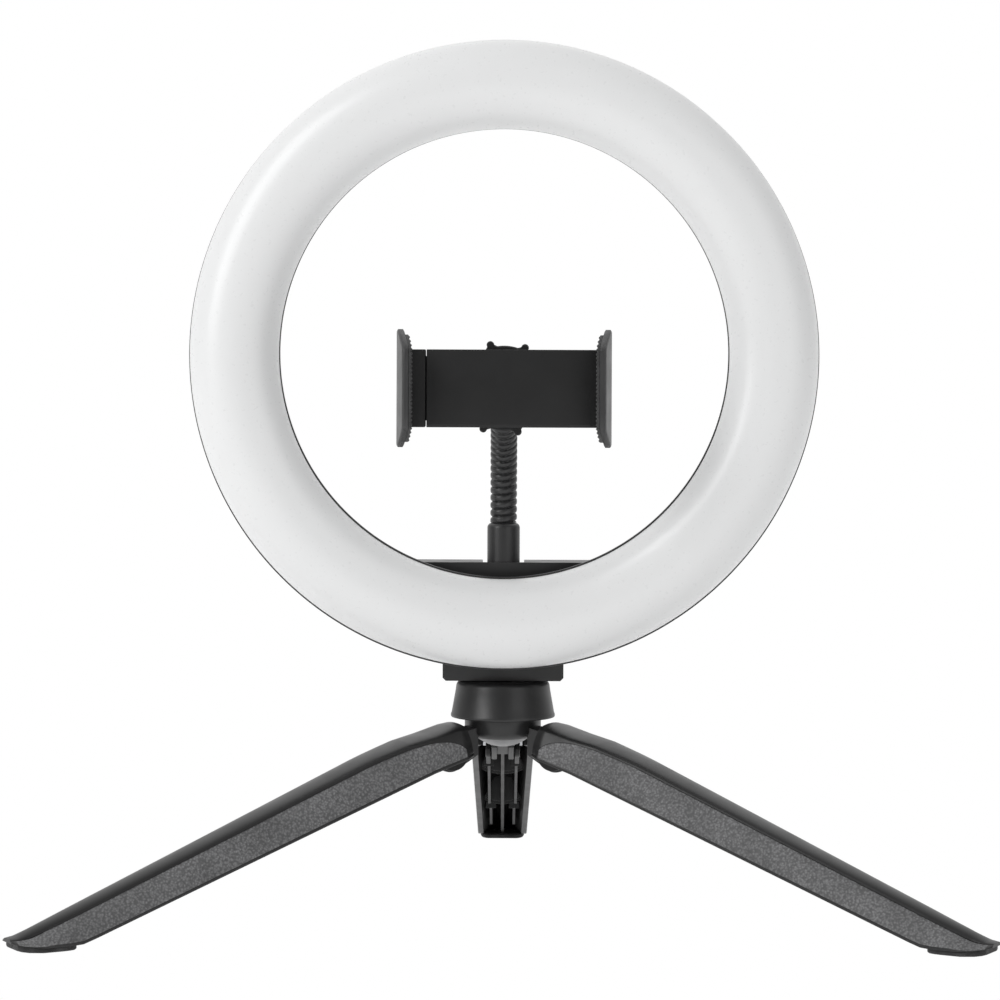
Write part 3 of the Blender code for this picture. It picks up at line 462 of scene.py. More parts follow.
def shift_rim(obj):
    """Sets the channel's outer rim slightly low and its inner rim slightly high."""
    for vertex in obj.data.vertices:
        reach = math.hypot(vertex.co.x - RING_CENTRE.x, vertex.co.z - RING_CENTRE.z) / MM
        offset = max(-1.0, min(1.0, (reach - TUBE_MIDDLE) / TUBE_HALF))
        vertex.co.z -= RIM_SHIFT * MM * offset


def make_casing():
    points = [(TUBE_MIDDLE + w, h) for w, h in casing_profile()]
    obj = lathe("casing_channel", points, CASING, RING_STEPS, True, RING, 40.0)
    shift_rim(obj)
    place(obj, "light", ["rear_casing"])


def pan_screw(name, node, body, head_radius, head_height, shank_radius, length, matrix):
    """A pan-head screw with a cross recess. Its head stands up from height 0."""
    bm = bmesh.new()
    steps = 48
    cross = head_radius * 0.62
    width = head_radius * 0.2
    dome = [(head_radius, 0.0), (head_radius, head_height * 0.35), (head_radius * 0.93, head_height * 0.7),
            (head_radius * 0.75, head_height * 0.95)]
    rings = [circle(bm, radius, height, steps) for radius, height in dome]
    for low, high in zip(rings, rings[1:]):
        bridge(bm, low, high)
    outline = []
    for quarter in range(4):
        turn = Matrix.Rotation(quarter * math.pi / 2, 2)
        for x, y in ((width, -width), (cross, -width), (cross, width)):
            outline.append(turn @ Vector((x, y)))
    rim = [bm.verts.new((p.x * MM, p.y * MM, head_height * MM)) for p in outline]
    deep = [bm.verts.new((p.x * 0.8 * MM, p.y * 0.8 * MM, head_height * 0.2 * MM)) for p in outline]
    bridge(bm, rim, deep)
    bm.faces.new(deep)
    fill_between(bm, rings[-1], rim)
    low = circle(bm, shank_radius, 0.0, steps)
    end = [bm.verts.new((0.8 * v.co.x, 0.8 * v.co.y, -length * MM)) for v in low]
    bridge(bm, rings[0], low)
    bridge(bm, low, end)
    bm.faces.new(end)
    bm.transform(matrix)
    place(finish_mesh(bm, STEEL, name, 30.0), body, [node])


def on_ring(radius, degrees_from_top):
    """A point on a circle about the ring's centre, in millimetres across and up."""
    turn = math.radians(degrees_from_top)
    return radius * math.sin(turn), radius * math.cos(turn)


def make_ring_details():
    back = Matrix.Rotation(math.pi, 4, "X")
    for number, angle in enumerate((30, 90, 150, 210, 270, 330), 1):
        x, up = on_ring(SCREW_CIRCLE, angle)
        spot = Matrix.Translation((x * MM, up * MM, -11.3 * MM))
        twist = Matrix.Rotation(math.radians(17 * number), 4, "Z")
        pan_screw(f"casing_screw_head_{number}", f"casing_screw_{number}", "light", 2.7, 1.6, 1.2, 8.0,
                  RING @ spot @ back @ twist)
    x, up = on_ring(TUBE_MIDDLE, 138.0)
    ribs = []
    for k in range(4):
        low, taper = -12.9 - 1.1 * k, 0.1 * k
        ribs += [(3.45 - taper, low), (3.45 - taper, low - 0.6)]
        ribs += [(3.1 - taper, low - 0.7), (3.1 - taper, low - 1.05)]
    profile = [(3.4, -8.7), (3.4, -11.3), (5.0, -11.3), (5.2, -11.5), (5.2, -12.3), (4.9, -12.6),
               (3.6, -12.8), *ribs, (2.9, -17.3), (1.9, -17.3), (1.9, -8.7)]
    spot = Matrix.Translation((x * MM, up * MM, 0.0))
    bush = lathe("cord_bush", profile, RUBBER, 48, True, RING @ spot)
    place(bush, "light", ["cable_gland"])
    paint(NODES["led_board"], BOARD)


# ---------------------------------------------------------------- bracket

def make_bracket():
    housing = copied("bracket_shell", "bracket_housing", BODY, 0.45, 3)
    place(housing, "light", ["bracket_housing"])
    cover = copied("bracket_rear", "bracket_cover", BODY, 0.3, 2)
    place(cover, "light", ["bracket_cover"])
    back = Matrix.Rotation(-math.pi / 2, 4, "X")
    for number, (x, z) in enumerate(((-28.5, 104.5), (28.5, 104.5), (-14.5, 79.5), (14.5, 79.5)), 1):
        spot = Matrix.Translation(AXIS + Vector((x, 8.1, z)) * MM)
        twist = Matrix.Rotation(math.radians(23 * number), 4, "Z")
        pan_screw(f"bracket_screw_head_{number}", f"bracket_screw_{number}", "light", 2.4, 1.4, 1.1, 7.0,
                  spot @ back @ twist)
    paint(NODES["thread_insert"], BRASS)


# ---------------------------------------------------------------- gooseneck

def neck_point(s):
    """The centre of the neck at a length along it, and its lean, in millimetres from the tripod's axis."""
    if s < 0:
        return Vector((0.0, 0.0, NECK_BASE + s)), 0.0
    lean = s / NECK_ARC
    return Vector((0.0, -NECK_ARC * (1 - math.cos(lean)), NECK_BASE + NECK_ARC * math.sin(lean))), lean


def neck_radius(s, turn):
    """The spiral corrugation: rounded crests with narrow grooves between them."""
    phase = (s / NECK_PITCH - turn / (2 * math.pi)) % 1.0
    crest = 1.0 - abs(2 * phase - 1.0) ** 3.2
    return 3.62 + 0.68 * crest


def neck_piece(name, start, end, nodes):
    """A length of the corrugated neck, along its curve."""
    sides, step = 56, 0.16
    count = max(2, round((end - start) / step))
    bm = bmesh.new()
    loops = []
    for k in range(count + 1):
        s = start + (end - start) * k / count
        centre, lean = neck_point(s)
        turn = Matrix.Rotation(lean, 3, "X")
        ring = []
        for side in range(sides):
            a = 2 * math.pi * side / sides
            r = neck_radius(s, a)
            point = centre + turn @ Vector((r * math.cos(a), r * math.sin(a), 0.0))
            ring.append(bm.verts.new(AXIS + point * MM))
        loops.append(ring)
    for low, high in zip(loops, loops[1:]):
        bridge(bm, low, high)
    bm.faces.new(loops[0])
    bm.faces.new(loops[-1])
    obj = finish_mesh(bm, NECK, name, 60.0)
    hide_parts(*nodes)
    return obj


def make_neck():
    cuts = [-0.6, *(SEGMENT * (k + 0.5) for k in range(5)), NECK_END]
    for k in range(5):
        obj = neck_piece(f"neck_bend_{k + 1}", cuts[k], cuts[k + 1], [f"neck_segment_{k + 1}"])
        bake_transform(obj)
    tip = neck_piece("neck_tip", cuts[5], cuts[6], [])
    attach(tip, "neck_5")
    top = NECK_BASE - 0.7
    shoulder = arc((5.25 - 1.6, top - 1.6), 1.6, 80, 0, 8)
    profile = [(0.0, top - 0.1), (3.5, top - 0.1), *shoulder, (5.25, 110.0), (5.25, 90.2), (0.0, 90.2)]
    socket = lathe("neck_sleeve", profile, NECK, 96, False, Matrix.Translation(AXIS), 30.0)
    place(socket, "light", ["neck_socket"])
    end, lean = neck_point(NECK_END)
    ball = arc((0.0, 8.5), 4.0, 90, -55, 24)
    profile = [(0.0, 12.5), *ball[1:], (2.1, 5.2), (2.1, 4.7), (3.4, 4.0), (4.3, 3.6), (4.6, 3.2), (4.6, 2.2),
               (4.35, 2.0), (4.35, 1.6), (4.6, 1.4), (4.6, 0.0), (0.0, 0.0)]
    matrix = Matrix.Translation(AXIS + end * MM) @ Matrix.Rotation(lean, 4, "X")
    stud = lathe("ball_and_ferrule", profile, STEEL, 64, False, matrix, 30.0)
    place(stud, "neck_5", ["ball_stud"])


# ---------------------------------------------------------------- phone clamp

CLAMP = Matrix.Translation(BALL) @ FORWARD


def make_cup_and_nut():
    seat = arc((0.0, 0.0), 4.3, 90, -13, 20)
    profile = [(0.0, CUP_FRONT), (7.1, CUP_FRONT), (7.5, 6.2), (7.6, 5.9), (7.6, -0.5), (7.4, -0.8),
               (7.1, -0.9), *reversed(seat[1:]), (0.0, 4.3)]
    cup = lathe("cup_shell", profile, PLATE, 96, False, CLAMP, 30.0)
    place(cup, "cup", ["ball_cup"])
    outline = []
    for k in range(NUT_LOBES):
        angle = 90.0 + 17.8 + k * 360.0 / NUT_LOBES
        centre = arc((0.0, 0.0), 14.2, angle, angle, 1)[0]
        outline += arc(centre, 1.2, angle - 105, angle + 105, 12)
        outline += arc((0.0, 0.0), 13.3, angle + 8.5, angle + 36.5, 12)
    bore = arc((0.0, 0.0), 7.9, 360, 7.5, 48)
    bm = bmesh.new()
    levels = ((-2.2, 0.5), (-1.9, 0.15), (-1.4, 0.0), (3.8, 0.0), (4.3, 0.15), (4.6, 0.5))
    rings = []
    for height, inset in levels:
        ring = []
        for x, y in outline:
            reach = math.hypot(x, y)
            keep = (reach - inset) / reach
            ring.append(bm.verts.new((x * keep * MM, y * keep * MM, height * MM)))
        rings.append(ring)
    holes = [[bm.verts.new((x * MM, y * MM, h * MM)) for x, y in bore] for h in (-2.2, 4.6)]
    for low, high in zip(rings, rings[1:]):
        bridge(bm, low, high)
    bridge(bm, *holes)
    fill_between(bm, rings[0], holes[0])
    fill_between(bm, rings[-1], holes[1])
    bm.transform(CLAMP)
    place(finish_mesh(bm, PLATE, "nut_ring", 30.0), "nut", ["lobed_nut"])


def clamp_box(bm, x0, x1, depth0, depth1, z0, z1):
    """A box by its width, its depth in front of the ball and its height about the ball."""
    extrude_outline(bm, ((x0, z0), (x1, z0), (x1, z1), (x0, z1)), depth0, depth1, CLAMP)


def jaw_across(depth):
    """The outer face of a jaw leans inwards towards its front."""
    return JAW_OUTER - max(0.0, depth - JAW_ROOT) * JAW_LEAN


def jaw_tip(z):
    """How far the jaw reaches forwards at a height: its front corners are cut back."""
    over = max(0.0, abs(z) - 12.0) / 6.3
    return JAW_FRONT - 12.5 * over ** 1.25


def jaw_section(side, z, back=6.7):
    """The jaw's plan at one height."""
    tip = jaw_tip(z)
    edge, reach = jaw_across(tip), tip - JAW_ROOT - 0.6
    outer = [(JAW_OUTER - 0.3, back), (JAW_OUTER, back + 0.3), (JAW_OUTER, JAW_ROOT)]
    outer += [(jaw_across(d), d) for d in (JAW_ROOT + reach * f for f in (0.25, 0.5, 0.75, 0.93))]
    outer += [(edge - 0.12, tip - 0.35), (edge - 0.4, tip - 0.06), (edge - 0.7, tip)]
    inner = [(edge - 1.7, tip), (edge - 1.95, tip - 0.25)]
    inner += [(jaw_across(d) - 1.95, d) for d in (JAW_ROOT + reach * f for f in (0.8, 0.5, 0.2))]
    inner += [(31.5, JAW_ROOT), (31.5, back)]
    return [(side * u, z, d) for u, d in outer + inner]


def jaw_blade(bm, side):
    """One jaw, lofted up its height, with rounded ends."""
    upper = [0.0, 8.0, 11.5, 12.2, 12.9, 13.6, 14.3, 15.0, 15.7, 16.4, 17.0, 17.5, 17.9, 18.15, 18.3]
    sections = []
    for z in [-v for v in reversed(upper[1:])] + upper:
        pull = (max(0.0, abs(z) - 17.3) / 1.0) ** 2
        section = jaw_section(side, z)
        middle = Vector((side * 31.9, z, 10.0))
        sections.append([tuple(middle + (Vector(p) - middle) * (1 - 0.3 * pull)) for p in section])
    start = len(bm.verts)
    loft(bm, sections)
    bm.verts.ensure_lookup_table()
    bmesh.ops.transform(bm, matrix=CLAMP, verts=bm.verts[start:])


def make_clamp_body():
    bm = bmesh.new()
    jaw_blade(bm, 1)
    right = finish_mesh(bm, JAW, "jaw_blade_right", 40.0)
    place(right, "clamp", [])
    bm = bmesh.new()
    section = ((8.4, -12.05), (12.85, -12.05), (13.05, -11.4), (13.2, -11.3), (13.2, 11.7), (13.0, 12.05),
               (8.4, 12.05))
    loft(bm, [[(x, z, depth) for depth, z in section] for x in (-24.0, 26.5, 28.1, 31.6)])
    for vertex in bm.verts:
        if vertex.co.x > 28.05 * MM and vertex.co.z > 12.9 * MM:
            vertex.co.z = 12.9 * MM
    bm.transform(CLAMP)
    plate = finish_mesh(bm, PLATE, "clamp_plate", 30.0)
    bm = bmesh.new()
    clamp_box(bm, -30.0, 24.0, 6.0, 11.7, -10.55, 10.55)
    tool = finish_mesh(bm, PLATE, "plate_hollow", 30.0)
    tool.hide_render = True
    hollow = plate.modifiers.new("hollow", "BOOLEAN")
    hollow.operation = "DIFFERENCE"
    hollow.object = tool
    graph = bpy.context.evaluated_depsgraph_get()
    mesh = bpy.data.meshes.new_from_object(plate.evaluated_get(graph))
    plate.modifiers.clear()
    plate.data = mesh
    bpy.data.objects.remove(tool, do_unlink=True)
    bevel(plate, 0.3, 3)
    place(plate, "clamp", ["clamp_frame"])
    back = copied("clamp_rear_cover", "clamp_back", PLATE, 0.25, 2)
    place(back, "clamp", ["clamp_back"])
    turn = Matrix.Rotation(math.pi, 4, "X")
    for number, up in ((1, 8.0), (2, -8.0)):
        spot = Matrix.Translation((26.8 * MM, up * MM, 6.4 * MM))
        twist = Matrix.Rotation(math.radians(31 * number), 4, "Z")
        pan_screw(f"clamp_screw_head_{number}", f"clamp_screw_{number}", "clamp", 1.9, 1.0, 0.7, 4.6,
                  CLAMP @ spot @ turn @ twist)


def make_slider():
    bm = bmesh.new()
    jaw_blade(bm, -1)
    left = finish_mesh(bm, JAW, "jaw_blade_left", 40.0)
    place(left, "jaw", [])
    bm = bmesh.new()
    strip = ((-31.8, -12.05), (-24.3, -12.05), (-24.3, -10.4), (-24.3, 10.4), (-24.3, 12.05), (-31.8, 12.05))
    extrude_outline(bm, strip, 7.0, 12.8, CLAMP)
    strip = bevel(finish_mesh(bm, PLATE, "slider_strip", 30.0), 0.4, 3)
    place(strip, "jaw", ["clamp_slider"])
    bm = bmesh.new()
    arm = ((-26.0, -10.0), (13.0, -10.0), (13.0, 4.5), (5.5, 4.5), (5.5, 10.0), (-26.0, 10.0))
    extrude_outline(bm, arm, 8.9, 10.9, CLAMP)
    tongue = bevel(finish_mesh(bm, PLATE, "slider_tongue", 30.0), 0.3, 2)
    place(tongue, "jaw", [])
    paint(NODES["clamp_spring"], STEEL)


def make_pads():
    """Rubber pads with fine teeth; a pad's ends follow the jaw's cut corners."""
    pads = (("grip_left", "jaw_pad_left", -1, "jaw"), ("grip_right", "jaw_pad_right", 1, "clamp"))
    for name, node, side, body in pads:
        bm = bmesh.new()
        sections = []
        for k in range(4 * PAD_TEETH + 1):
            z = -PAD_HALF + 2 * PAD_HALF * k / (4 * PAD_TEETH)
            tooth = (0.0, 0.32, 0.36, 0.08)[k % 4]
            front = min(22.35, jaw_tip(z) - 0.1)
            back = 13.6
            if front < back + 1.2:
                back = front - 1.2
            section = []
            for part, inset in ((1.0, 0.5), (0.97, 0.15), (0.9, 0.0), (0.1, 0.0), (0.04, 0.12), (0.0, 0.4)):
                depth = back + (front - back) * part
                base = jaw_across(depth) - 2.05
                section.append((side * (base - max(0.2, 0.82 + tooth - inset)), z, depth))
            for depth in (back, front):
                section.append((side * (jaw_across(depth) - 2.05), z, depth))
            sections.append(section)
        loft(bm, sections)
        bm.transform(CLAMP)
        place(finish_mesh(bm, RUBBER, name, 25.0), body, [node])


# ---------------------------------------------------------------- tripod head

def tongue_shape():
    """A hinge tongue: two cheeks with a recessed web between them."""
    bm = bmesh.new()
    plates = ((-2.75, 1.7, 6.0, 50.0), (2.75, 1.7, 6.0, 50.0), (0.0, 3.9, 4.3, 52.2))
    for across, thickness, radius, low in plates:
        outline = arc((PIN_REACH, PIN_HEIGHT), radius, -105, 100, 28)
        outline += [(14.0, 58.3), (11.0, 59.0), (11.0, low)]
        loft(bm, [[(r, across + half, z) for r, z in outline] for half in (-thickness / 2, thickness / 2)])
    return bm


def make_knob_and_hub():
    top, bottom = KNOB_TOP, KNOB_BOTTOM
    shoulder = arc((13.1, top - 1.9), 2.0, 88, 10, 12)
    profile = [(3.5, top - 0.2), (3.7, top), *shoulder, (15.25, 70.2), (16.55, 62.9), (16.72, 62.6),
               (16.8, 62.2), (16.8, 61.75), (16.6, bottom), (14.4, bottom), (13.4, 71.0), (6.5, 71.0),
               (6.5, bottom), (3.5, bottom)]
    knob = lathe("knob_cap", profile, BODY, 128, True, Matrix.Translation(AXIS), 30.0)
    place(knob, "knob", ["tripod_knob"])
    thread = [(0.0, 82.5), (2.2, 82.5)]
    for k in range(THREAD_TURNS):
        z = 82.0 - THREAD_PITCH * k
        thread += [(2.55, z), (3.1, z - 0.5), (3.1, z - 0.72)]
    thread += [(3.1, 59.1), (5.2, 59.1), (5.2, 56.0), (0.0, 56.0)]
    screw = lathe("knob_screw", thread, STEEL, 48, False, Matrix.Translation(AXIS), 30.0)
    place(screw, "knob", ["tripod_screw"])
    profile = [(3.5, 61.2), (12.0, 61.2), (12.3, 60.9), (12.3, 57.0), (11.9, 56.3), (10.6, 55.15),
               (10.2, 55.0), (5.7, 55.0), (5.7, 59.4), (3.5, 59.4)]
    hub = lathe("hub_body", profile, BODY, 128, True, Matrix.Translation(AXIS), 30.0)
    place(hub, "tripod", ["tripod_hub"])
    for side, angle in LEG_ANGLES.items():
        shape = tongue_shape()
        shape.transform(leg_matrix(angle))
        tongue = bevel(finish_mesh(shape, BODY, f"hub_tongue_{side}", 30.0), 0.25, 2)
        place(tongue, "tripod", [])
    rim, radius, depth = DISH_RIM, DISH_RADIUS, DISH_DEPTH
    ball = (radius**2 + depth**2) / (2 * depth)
    middle = rim - depth + ball
    outer = [(r, middle - math.sqrt(ball**2 - r**2)) for r in np.linspace(radius, 0.0, 20)]
    profile = [(0.0, outer[-1][1] + 0.8), *((r, z + 0.8) for r, z in reversed(outer[1:-1])), *outer]
    dish = lathe("hub_cover", profile, DISH, 96, False, Matrix.Translation(AXIS), 30.0)
    place(dish, "tripod", ["hub_dish"])


# ---------------------------------------------------------------- legs

def panel_top(reach):
    """Where the stippled panel starts down the leg's side: 0 is under the rail and 1 is the lower edge."""
    run = min(1.0, max(0.0, (reach - PANEL_START) / (PANEL_FULL - PANEL_START)))
    return 1 - math.sqrt(1 - (1 - run) ** 2)


def leg_section(reach):
    """The outline across a leg: an arched rail, slanted bulging sides with sunk panels, and the trough."""
    half, shoulder = along(LEG_HALF, reach), along(LEG_TOP_HALF, reach)
    top, edge = along(LEG_RIDGE, reach), along(LEG_EDGE, reach)
    cut = max(0.0, (20.5 - reach) / 4.0)
    half, shoulder = half - 2.4 * cut, shoulder - 1.2 * cut
    rise = min(LEG_ARCH, 0.4 * (top - edge))
    start, tall = top - rise, top - rise - edge
    lip = min(1.0, 0.2 * tall)
    bulge = min(0.75, 0.1 * tall)
    fade = min(1.0, max(0.0, (169.0 - reach) / 4.0))
    lean = Vector((half - shoulder, edge - start)).normalized()
    normal = Vector((-lean.y, lean.x))

    def on_side(part, out=0.0):
        """A point down the side, pushed out by the bulge and by a given amount."""
        base = Vector((shoulder, start)).lerp(Vector((half, edge + lip)), part)
        return tuple(base + normal * (bulge * 4 * part * (1 - part) * (1.15 - 0.3 * part) + out))

    first = 0.03 + 0.9 * panel_top(reach)
    sink = -0.25 * fade * min(1.0, max(0.0, (0.93 - first) / 0.15))
    side = [(half - 0.2, edge), (half, edge + 0.3 * lip), (half, edge + 0.75 * lip)]
    side += [on_side(0.985, -0.22 * fade)]
    side += [on_side(part, sink) for part in np.linspace(0.97, first + 0.012, 7)]
    side += [on_side(first, 0.0), on_side(first * 0.5, 0.0), (shoulder + 0.05, start)]
    rail = [(shoulder * u, start + rise * z) for u, z in arc((0.0, 0.0), 1.0, 8, 90, 13)]
    right = side + rail
    outer = right + [(-u, z) for u, z in reversed(right[:-1])]
    depth = min(1.0, max(0.0, (TROUGH_END - reach) / 9.0))
    roof = math.sqrt(1 - (1 - depth) ** 2)
    wide = half - LEG_WALL - 0.4
    low_half = wide * (0.35 + 0.65 * math.sqrt(roof)) if depth < 1 else wide
    high_half = min(low_half, shoulder - LEG_WALL)
    ceiling = edge + (top - LEG_WALL - edge) * roof
    shallow = min(rise, 0.4 * (ceiling - edge))
    inner = [(low_half, edge), (low_half, edge + 0.02 * (ceiling - edge))]
    inner += [(high_half * u, ceiling - shallow + shallow * z) for u, z in arc((0.0, 0.0), 1.0, 0, 90, 6)]
    under = [(-u, z) for u, z in inner] + list(reversed(inner[:-1]))
    slant = 0.25 * min(1.0, max(0.0, (30.0 - reach) / 12.0))
    return [(reach + slant * (z - top), u, z) for u, z in outer + under]


# The spans of the outline that carry the stipple, and the number of points in the outline above the trough.
PANEL_SPANS = (3, 4, 5, 6, 7, 8, 9)
OUTER_POINTS = 53


def leg_stations():
    """Where the leg's outline is taken, closest where the panel curves and at the tip."""
    fine = [18.0, 18.6, 19.2, 19.8, *np.arange(20.5, 45.0, 0.6)]
    plain = list(np.arange(45.0, 153.0, 4.0))
    end = list(np.arange(153.0, 166.0, 0.75))
    tip = [166.5, 167.2, 167.9, 168.5, 169.0, 169.4, 169.7, 169.9, 170.0]
    return fine + plain + end + tip


def make_leg_shell():
    bm = bmesh.new()
    stations = leg_stations()
    sections = [leg_section(r) for r in stations]

    def slot_of(s, k):
        mirrored = OUTER_POINTS - 2 - k
        reach = stations[s]
        stippled_here = (k in PANEL_SPANS or mirrored in PANEL_SPANS) and PANEL_START < reach < 168.0
        return 1 if stippled_here else 0

    loft(bm, sections, slot_of)
    return bm


def strip_points(start, end, rise, bury):
    """Stations along a rib with its lower and upper heights."""
    breaks = sorted({start, end, *(r for r in LEG_BREAKS if start < r < end)})
    return [(r, along(LEG_EDGE, r) + rise, along(LEG_RIDGE, r) - bury) for r in breaks]


def add_rib(bm, start, end, across, thickness, rise, bury):
    """A rib along the trough, from a rise above the lower edge to a depth below the ridge."""
    left, right = across - thickness / 2, across + thickness / 2
    loft(bm, [[(r, left, low), (r, right, low), (r, right, high), (r, left, high)]
              for r, low, high in strip_points(start, end, rise, bury)])


def add_cross(bm, reach, rise, sag, thickness=0.8):
    """A rib across the trough, lower in its middle, and narrower at its top as the sides lean in."""
    edge, top = along(LEG_EDGE, reach), along(LEG_RIDGE, reach)
    half, shoulder = along(LEG_HALF, reach), along(LEG_TOP_HALF, reach)
    lean = (half - shoulder) / (top - LEG_ARCH - edge)
    foot = half - 0.8 - lean * rise
    outline = [(u, edge + rise - sag * (1 - (u / foot) ** 2)) for u in np.linspace(-foot, foot, 13)]
    outline += [(shoulder - 0.8, top - 1.3), (0.8 - shoulder, top - 1.3)]
    sections = [[(reach + dx, u, z) for u, z in outline] for dx in (-thickness / 2, thickness / 2)]
    loft(bm, sections)


def add_bar(bm, reach, across, half_length, rise, height, thickness):
    """A short bar across a rib's end."""
    low = along(LEG_EDGE, reach) + rise
    outline = ((across - half_length, low), (across + half_length, low),
               (across + half_length, low + height), (across - half_length, low + height))
    loft(bm, [[(reach + dx, u, z) for u, z in outline] for dx in (-thickness / 2, thickness / 2)])


def make_leg_ribs():
    bm = bmesh.new()
    add_rib(bm, 28.5, 161.5, 0.0, 1.15, 0.5, 1.2)
    for side in (-1, 1):
        for start, end, offset, bury in ((50.0, 104.8, 4.6, 1.9), (111.0, 137.0, 4.1, 2.6)):
            add_rib(bm, start, end, side * offset, 1.0, 0.8, bury)
            add_bar(bm, start, side * offset, 1.9, 0.7, 2.4, 0.9)
    for reach in (59.0, 63.1, 102.9, 107.1):
        add_cross(bm, reach, 3.2, 2.0)
    add_bar(bm, 30.0, 0.0, 4.8, 0.3, 9.9, 1.2)
    return bm


def make_leg_ears():
    """The two hinge ears beside the hub's tongue. The pin's ends pass through them."""
    bm = bmesh.new()
    for side in (-1, 1):
        lug = arc((PIN_REACH, PIN_HEIGHT), 5.4, 205, 318, 24)
        foot = [(r, along(LEG_EDGE, r) + 0.6) for r in (26.4, 29.0, 38.0, 47.0)]
        roof = [(r, along(LEG_RIDGE, r) - 1.2) for r in (47.0, 38.0, 29.0, PIN_REACH)]
        outline = lug + foot + roof + [(18.6, 59.0)]
        stretch = [[(r, side * 4.8 + dv, z) for r, z in outline] for dv in (-0.8, 0.8)]
        loft(bm, stretch)
    return bm


def leg_matrix(angle):
    """Turns a shape modelled along +X to a leg's direction about the tripod's axis."""
    return Matrix.Translation(AXIS) @ Matrix.Rotation(math.radians(angle), 4, "Z")


def make_feet_mesh():
    """The foot pad, from its distance, half width, lower and upper height at each station."""
    bm = bmesh.new()
    stations = ((149.9, 4.6, 0.25, 1.3), (150.3, 6.2, 0.05, 1.4), (151.2, 7.2, 0.0, 1.45),
                (153.0, 7.8, 0.0, 1.45), (155.0, 8.0, 0.0, 1.45), (161.0, 8.0, 0.0, 1.45),
                (165.2, 7.1, 0.25, 2.0), (167.2, 5.9, 0.5, 2.4), (168.4, 4.8, 0.85, 2.6))
    sections = []
    for reach, half, bottom, top in stations:
        edge = min(0.6, (top - bottom) / 2)
        right = [(half - 1.2, bottom), (half - 0.4, bottom + 0.15), (half, bottom + edge), (half, top)]
        outline = right + [(-u, z) for u, z in reversed(right)]
        sections.append([(reach, u, z) for u, z in outline])
    loft(bm, sections)
    return bm


def make_legs():
    shell = finish_mesh(make_leg_shell(), (LEG, STIPPLE), "leg_shell", 28.0)
    ribs = bevel(finish_mesh(make_leg_ribs(), RIB, "leg_ribs", 30.0), 0.18, 2)
    ears = bevel(finish_mesh(make_leg_ears(), RIB, "leg_ears", 30.0), 0.3, 2)
    foot = bevel(finish_mesh(make_feet_mesh(), RUBBER, "foot_pad", 30.0), 0.15, 2)
    masters = (shell, ribs, ears, foot)
    for side, angle in LEG_ANGLES.items():
        body = f"leg_{side}"
        for master, kind, nodes, slot in (
            (shell, "shell", [f"leg_{side}"], "textured_black_plastic"),
            (ribs, "ribs", [], "textured_black_plastic"),
            (ears, "ears", [], "textured_black_plastic"),
            (foot, "sole", [f"foot_{side}"], "black_rubber"),
        ):
            obj = master.copy()
            obj.data = master.data.copy()
            obj.data.transform(leg_matrix(angle))
            obj.name = f"leg_{side}_{kind}"
            bpy.context.scene.collection.objects.link(obj)
            place(obj, body, nodes)
        half = [(0.0, 6.6), (1.1, 6.6), (1.4, 6.45), (1.5, 6.2)]
        profile = half + [(r, -z) for r, z in reversed(half)]
        lay = Matrix.Translation(Vector((PIN_REACH, 0.0, PIN_HEIGHT)) * MM) @ FORWARD
        pin = lathe(f"hinge_pin_{side}", profile, STEEL, 32, False, leg_matrix(angle) @ lay, 30.0)
        place(pin, "tripod", [f"leg_pin_{side}"])
    for master in masters:
        bpy.data.objects.remove(master, do_unlink=True)


# ---------------------------------------------------------------- stage

def area_light(name, location, target, width, height, power):
    data = bpy.data.lights.new(name, "AREA")
    data.shape = "RECTANGLE"
    data.size = width
    data.size_y = height
    data.energy = power
    obj = bpy.data.objects.new(name, data)
    obj.location = location
    obj.rotation_euler = (Vector(target) - Vector(location)).to_track_quat("-Z", "Y").to_euler()
    bpy.context.scene.collection.objects.link(obj)
    return obj


def seen_directly(tree, plain, bright):
    """Uses one shader for what the camera sees directly, and another for the light it gives."""
    path = tree.nodes.new("ShaderNodeLightPath")
    mix = tree.nodes.new("ShaderNodeMixShader")
    tree.links.new(path.outputs["Is Camera Ray"], mix.inputs["Fac"])
    tree.links.new(plain, mix.inputs[1])
    tree.links.new(bright, mix.inputs[2])
    return mix.outputs["Shader"]


def make_floor():
    bm = bmesh.new()
    bmesh.ops.create_circle(bm, cap_ends=True, segments=96, radius=6.0)
    n = Nodes("pale_floor")
    n.link(n.ramp(n.noise(3.0, 3.0), (0.62, 0.62, 0.62), (0.66, 0.66, 0.66)), n.shader.inputs["Base Color"])
    n.link(n.span(n.noise(20.0, 2.0), 0.75, 0.9), n.shader.inputs["Roughness"])
    n.shader.inputs["Emission Color"].default_value = (1.0, 1.0, 1.0, 1.0)
    n.shader.inputs["Emission Strength"].default_value = 0.4
    white = n.add("ShaderNodeEmission")
    white.inputs["Strength"].default_value = 1.0
    out = n.tree.nodes["Material Output"]
    n.link(seen_directly(n.tree, n.shader.outputs["BSDF"], white.outputs["Emission"]), out.inputs["Surface"])
    finish_mesh(bm, n.material, "floor")


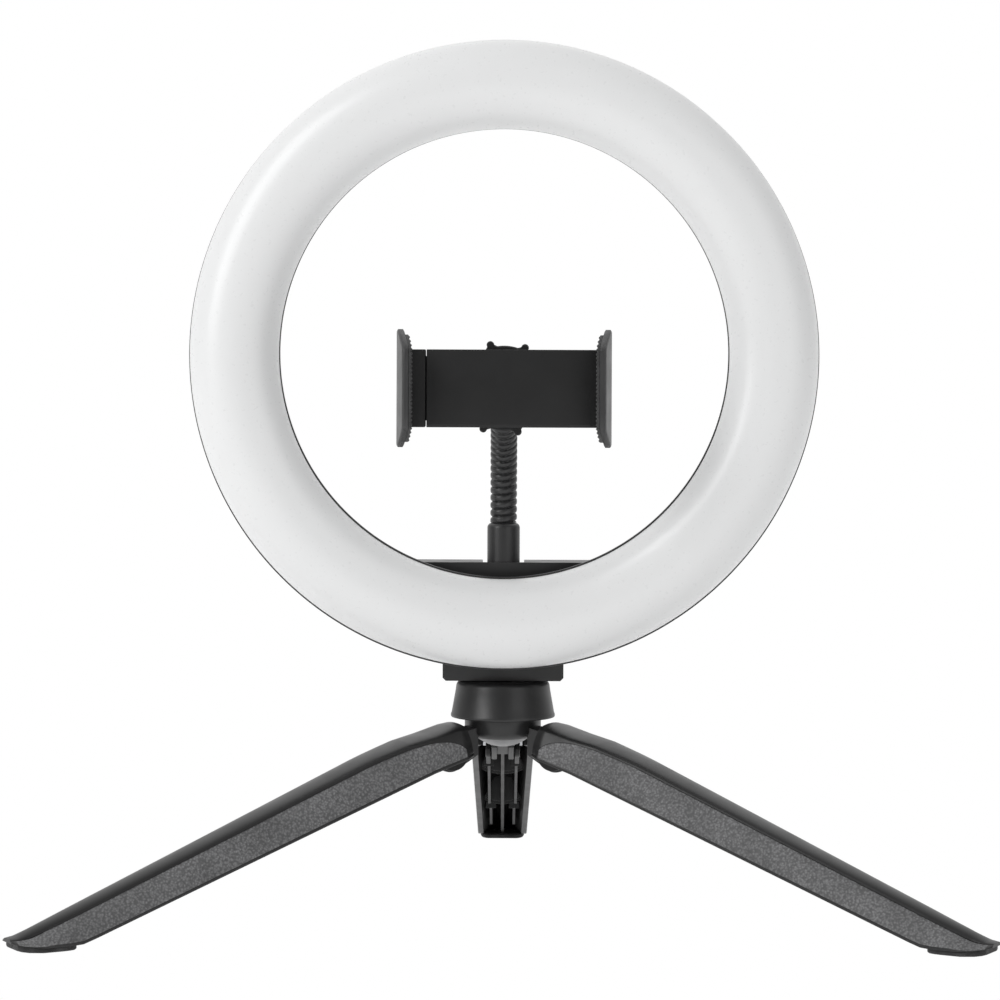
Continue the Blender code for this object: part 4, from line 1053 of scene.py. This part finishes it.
def make_world():
    """A white studio: bright behind the object and above it, dim behind the camera."""
    world = bpy.data.worlds.new("studio")
    bpy.context.scene.world = world
    world.use_nodes = True
    tree = world.node_tree
    coords = tree.nodes.new("ShaderNodeTexCoord")
    split = tree.nodes.new("ShaderNodeSeparateXYZ")
    tree.links.new(coords.outputs["Generated"], split.inputs[0])
    levels = []
    for axis, low, high, start, end in (("Y", 0.16, 0.85, -0.45, 0.95), ("Z", 0.0, 0.55, 0.2, 1.0)):
        span = tree.nodes.new("ShaderNodeMapRange")
        span.interpolation_type = "SMOOTHSTEP"
        for key, value in (("From Min", start), ("From Max", end), ("To Min", low), ("To Max", high)):
            span.inputs[key].default_value = value
        tree.links.new(split.outputs[axis], span.inputs["Value"])
        levels.append(span.outputs["Result"])
    total = tree.nodes.new("ShaderNodeMath")
    tree.links.new(levels[0], total.inputs[0])
    tree.links.new(levels[1], total.inputs[1])
    background = tree.nodes["Background"]
    background.inputs["Color"].default_value = (1.0, 1.0, 1.0, 1.0)
    tree.links.new(total.outputs["Value"], background.inputs["Strength"])
    white = tree.nodes.new("ShaderNodeBackground")
    white.inputs["Color"].default_value = (1.0, 1.0, 1.0, 1.0)
    shader = seen_directly(tree, background.outputs["Background"], white.outputs["Background"])
    tree.links.new(shader, tree.nodes["World Output"].inputs["Surface"])


def make_lights():
    area_light("key", (-1.05, -0.95, 0.85), (0.0, -0.06, 0.18), 0.6, 1.25, 11.0)
    area_light("fill", (0.95, -1.3, 0.55), (0.0, 0.0, 0.1), 1.0, 1.0, 2.6)


def make_camera():
    data = bpy.data.cameras.new("camera")
    data.lens = CAMERA_LENS
    data.sensor_width = 36.0
    data.shift_x, data.shift_y = CAMERA_SHIFT
    data.clip_start = 0.05
    camera = bpy.data.objects.new("camera", data)
    camera.location = (0.0, AXIS.y - CAMERA_DISTANCE, CAMERA_HEIGHT)
    camera.rotation_euler = (math.pi / 2, ROLL, 0.0)
    bpy.context.scene.collection.objects.link(camera)
    bpy.context.scene.camera = camera


make_camera()
make_floor()
make_world()
make_lights()
make_diffuser()
make_casing()
make_ring_details()
make_bracket()
make_neck()
make_cup_and_nut()
make_clamp_body()
make_slider()
make_pads()
make_knob_and_hub()
make_legs()
bpy.context.scene.view_settings.view_transform = "Standard"
bpy.context.view_layer.update()
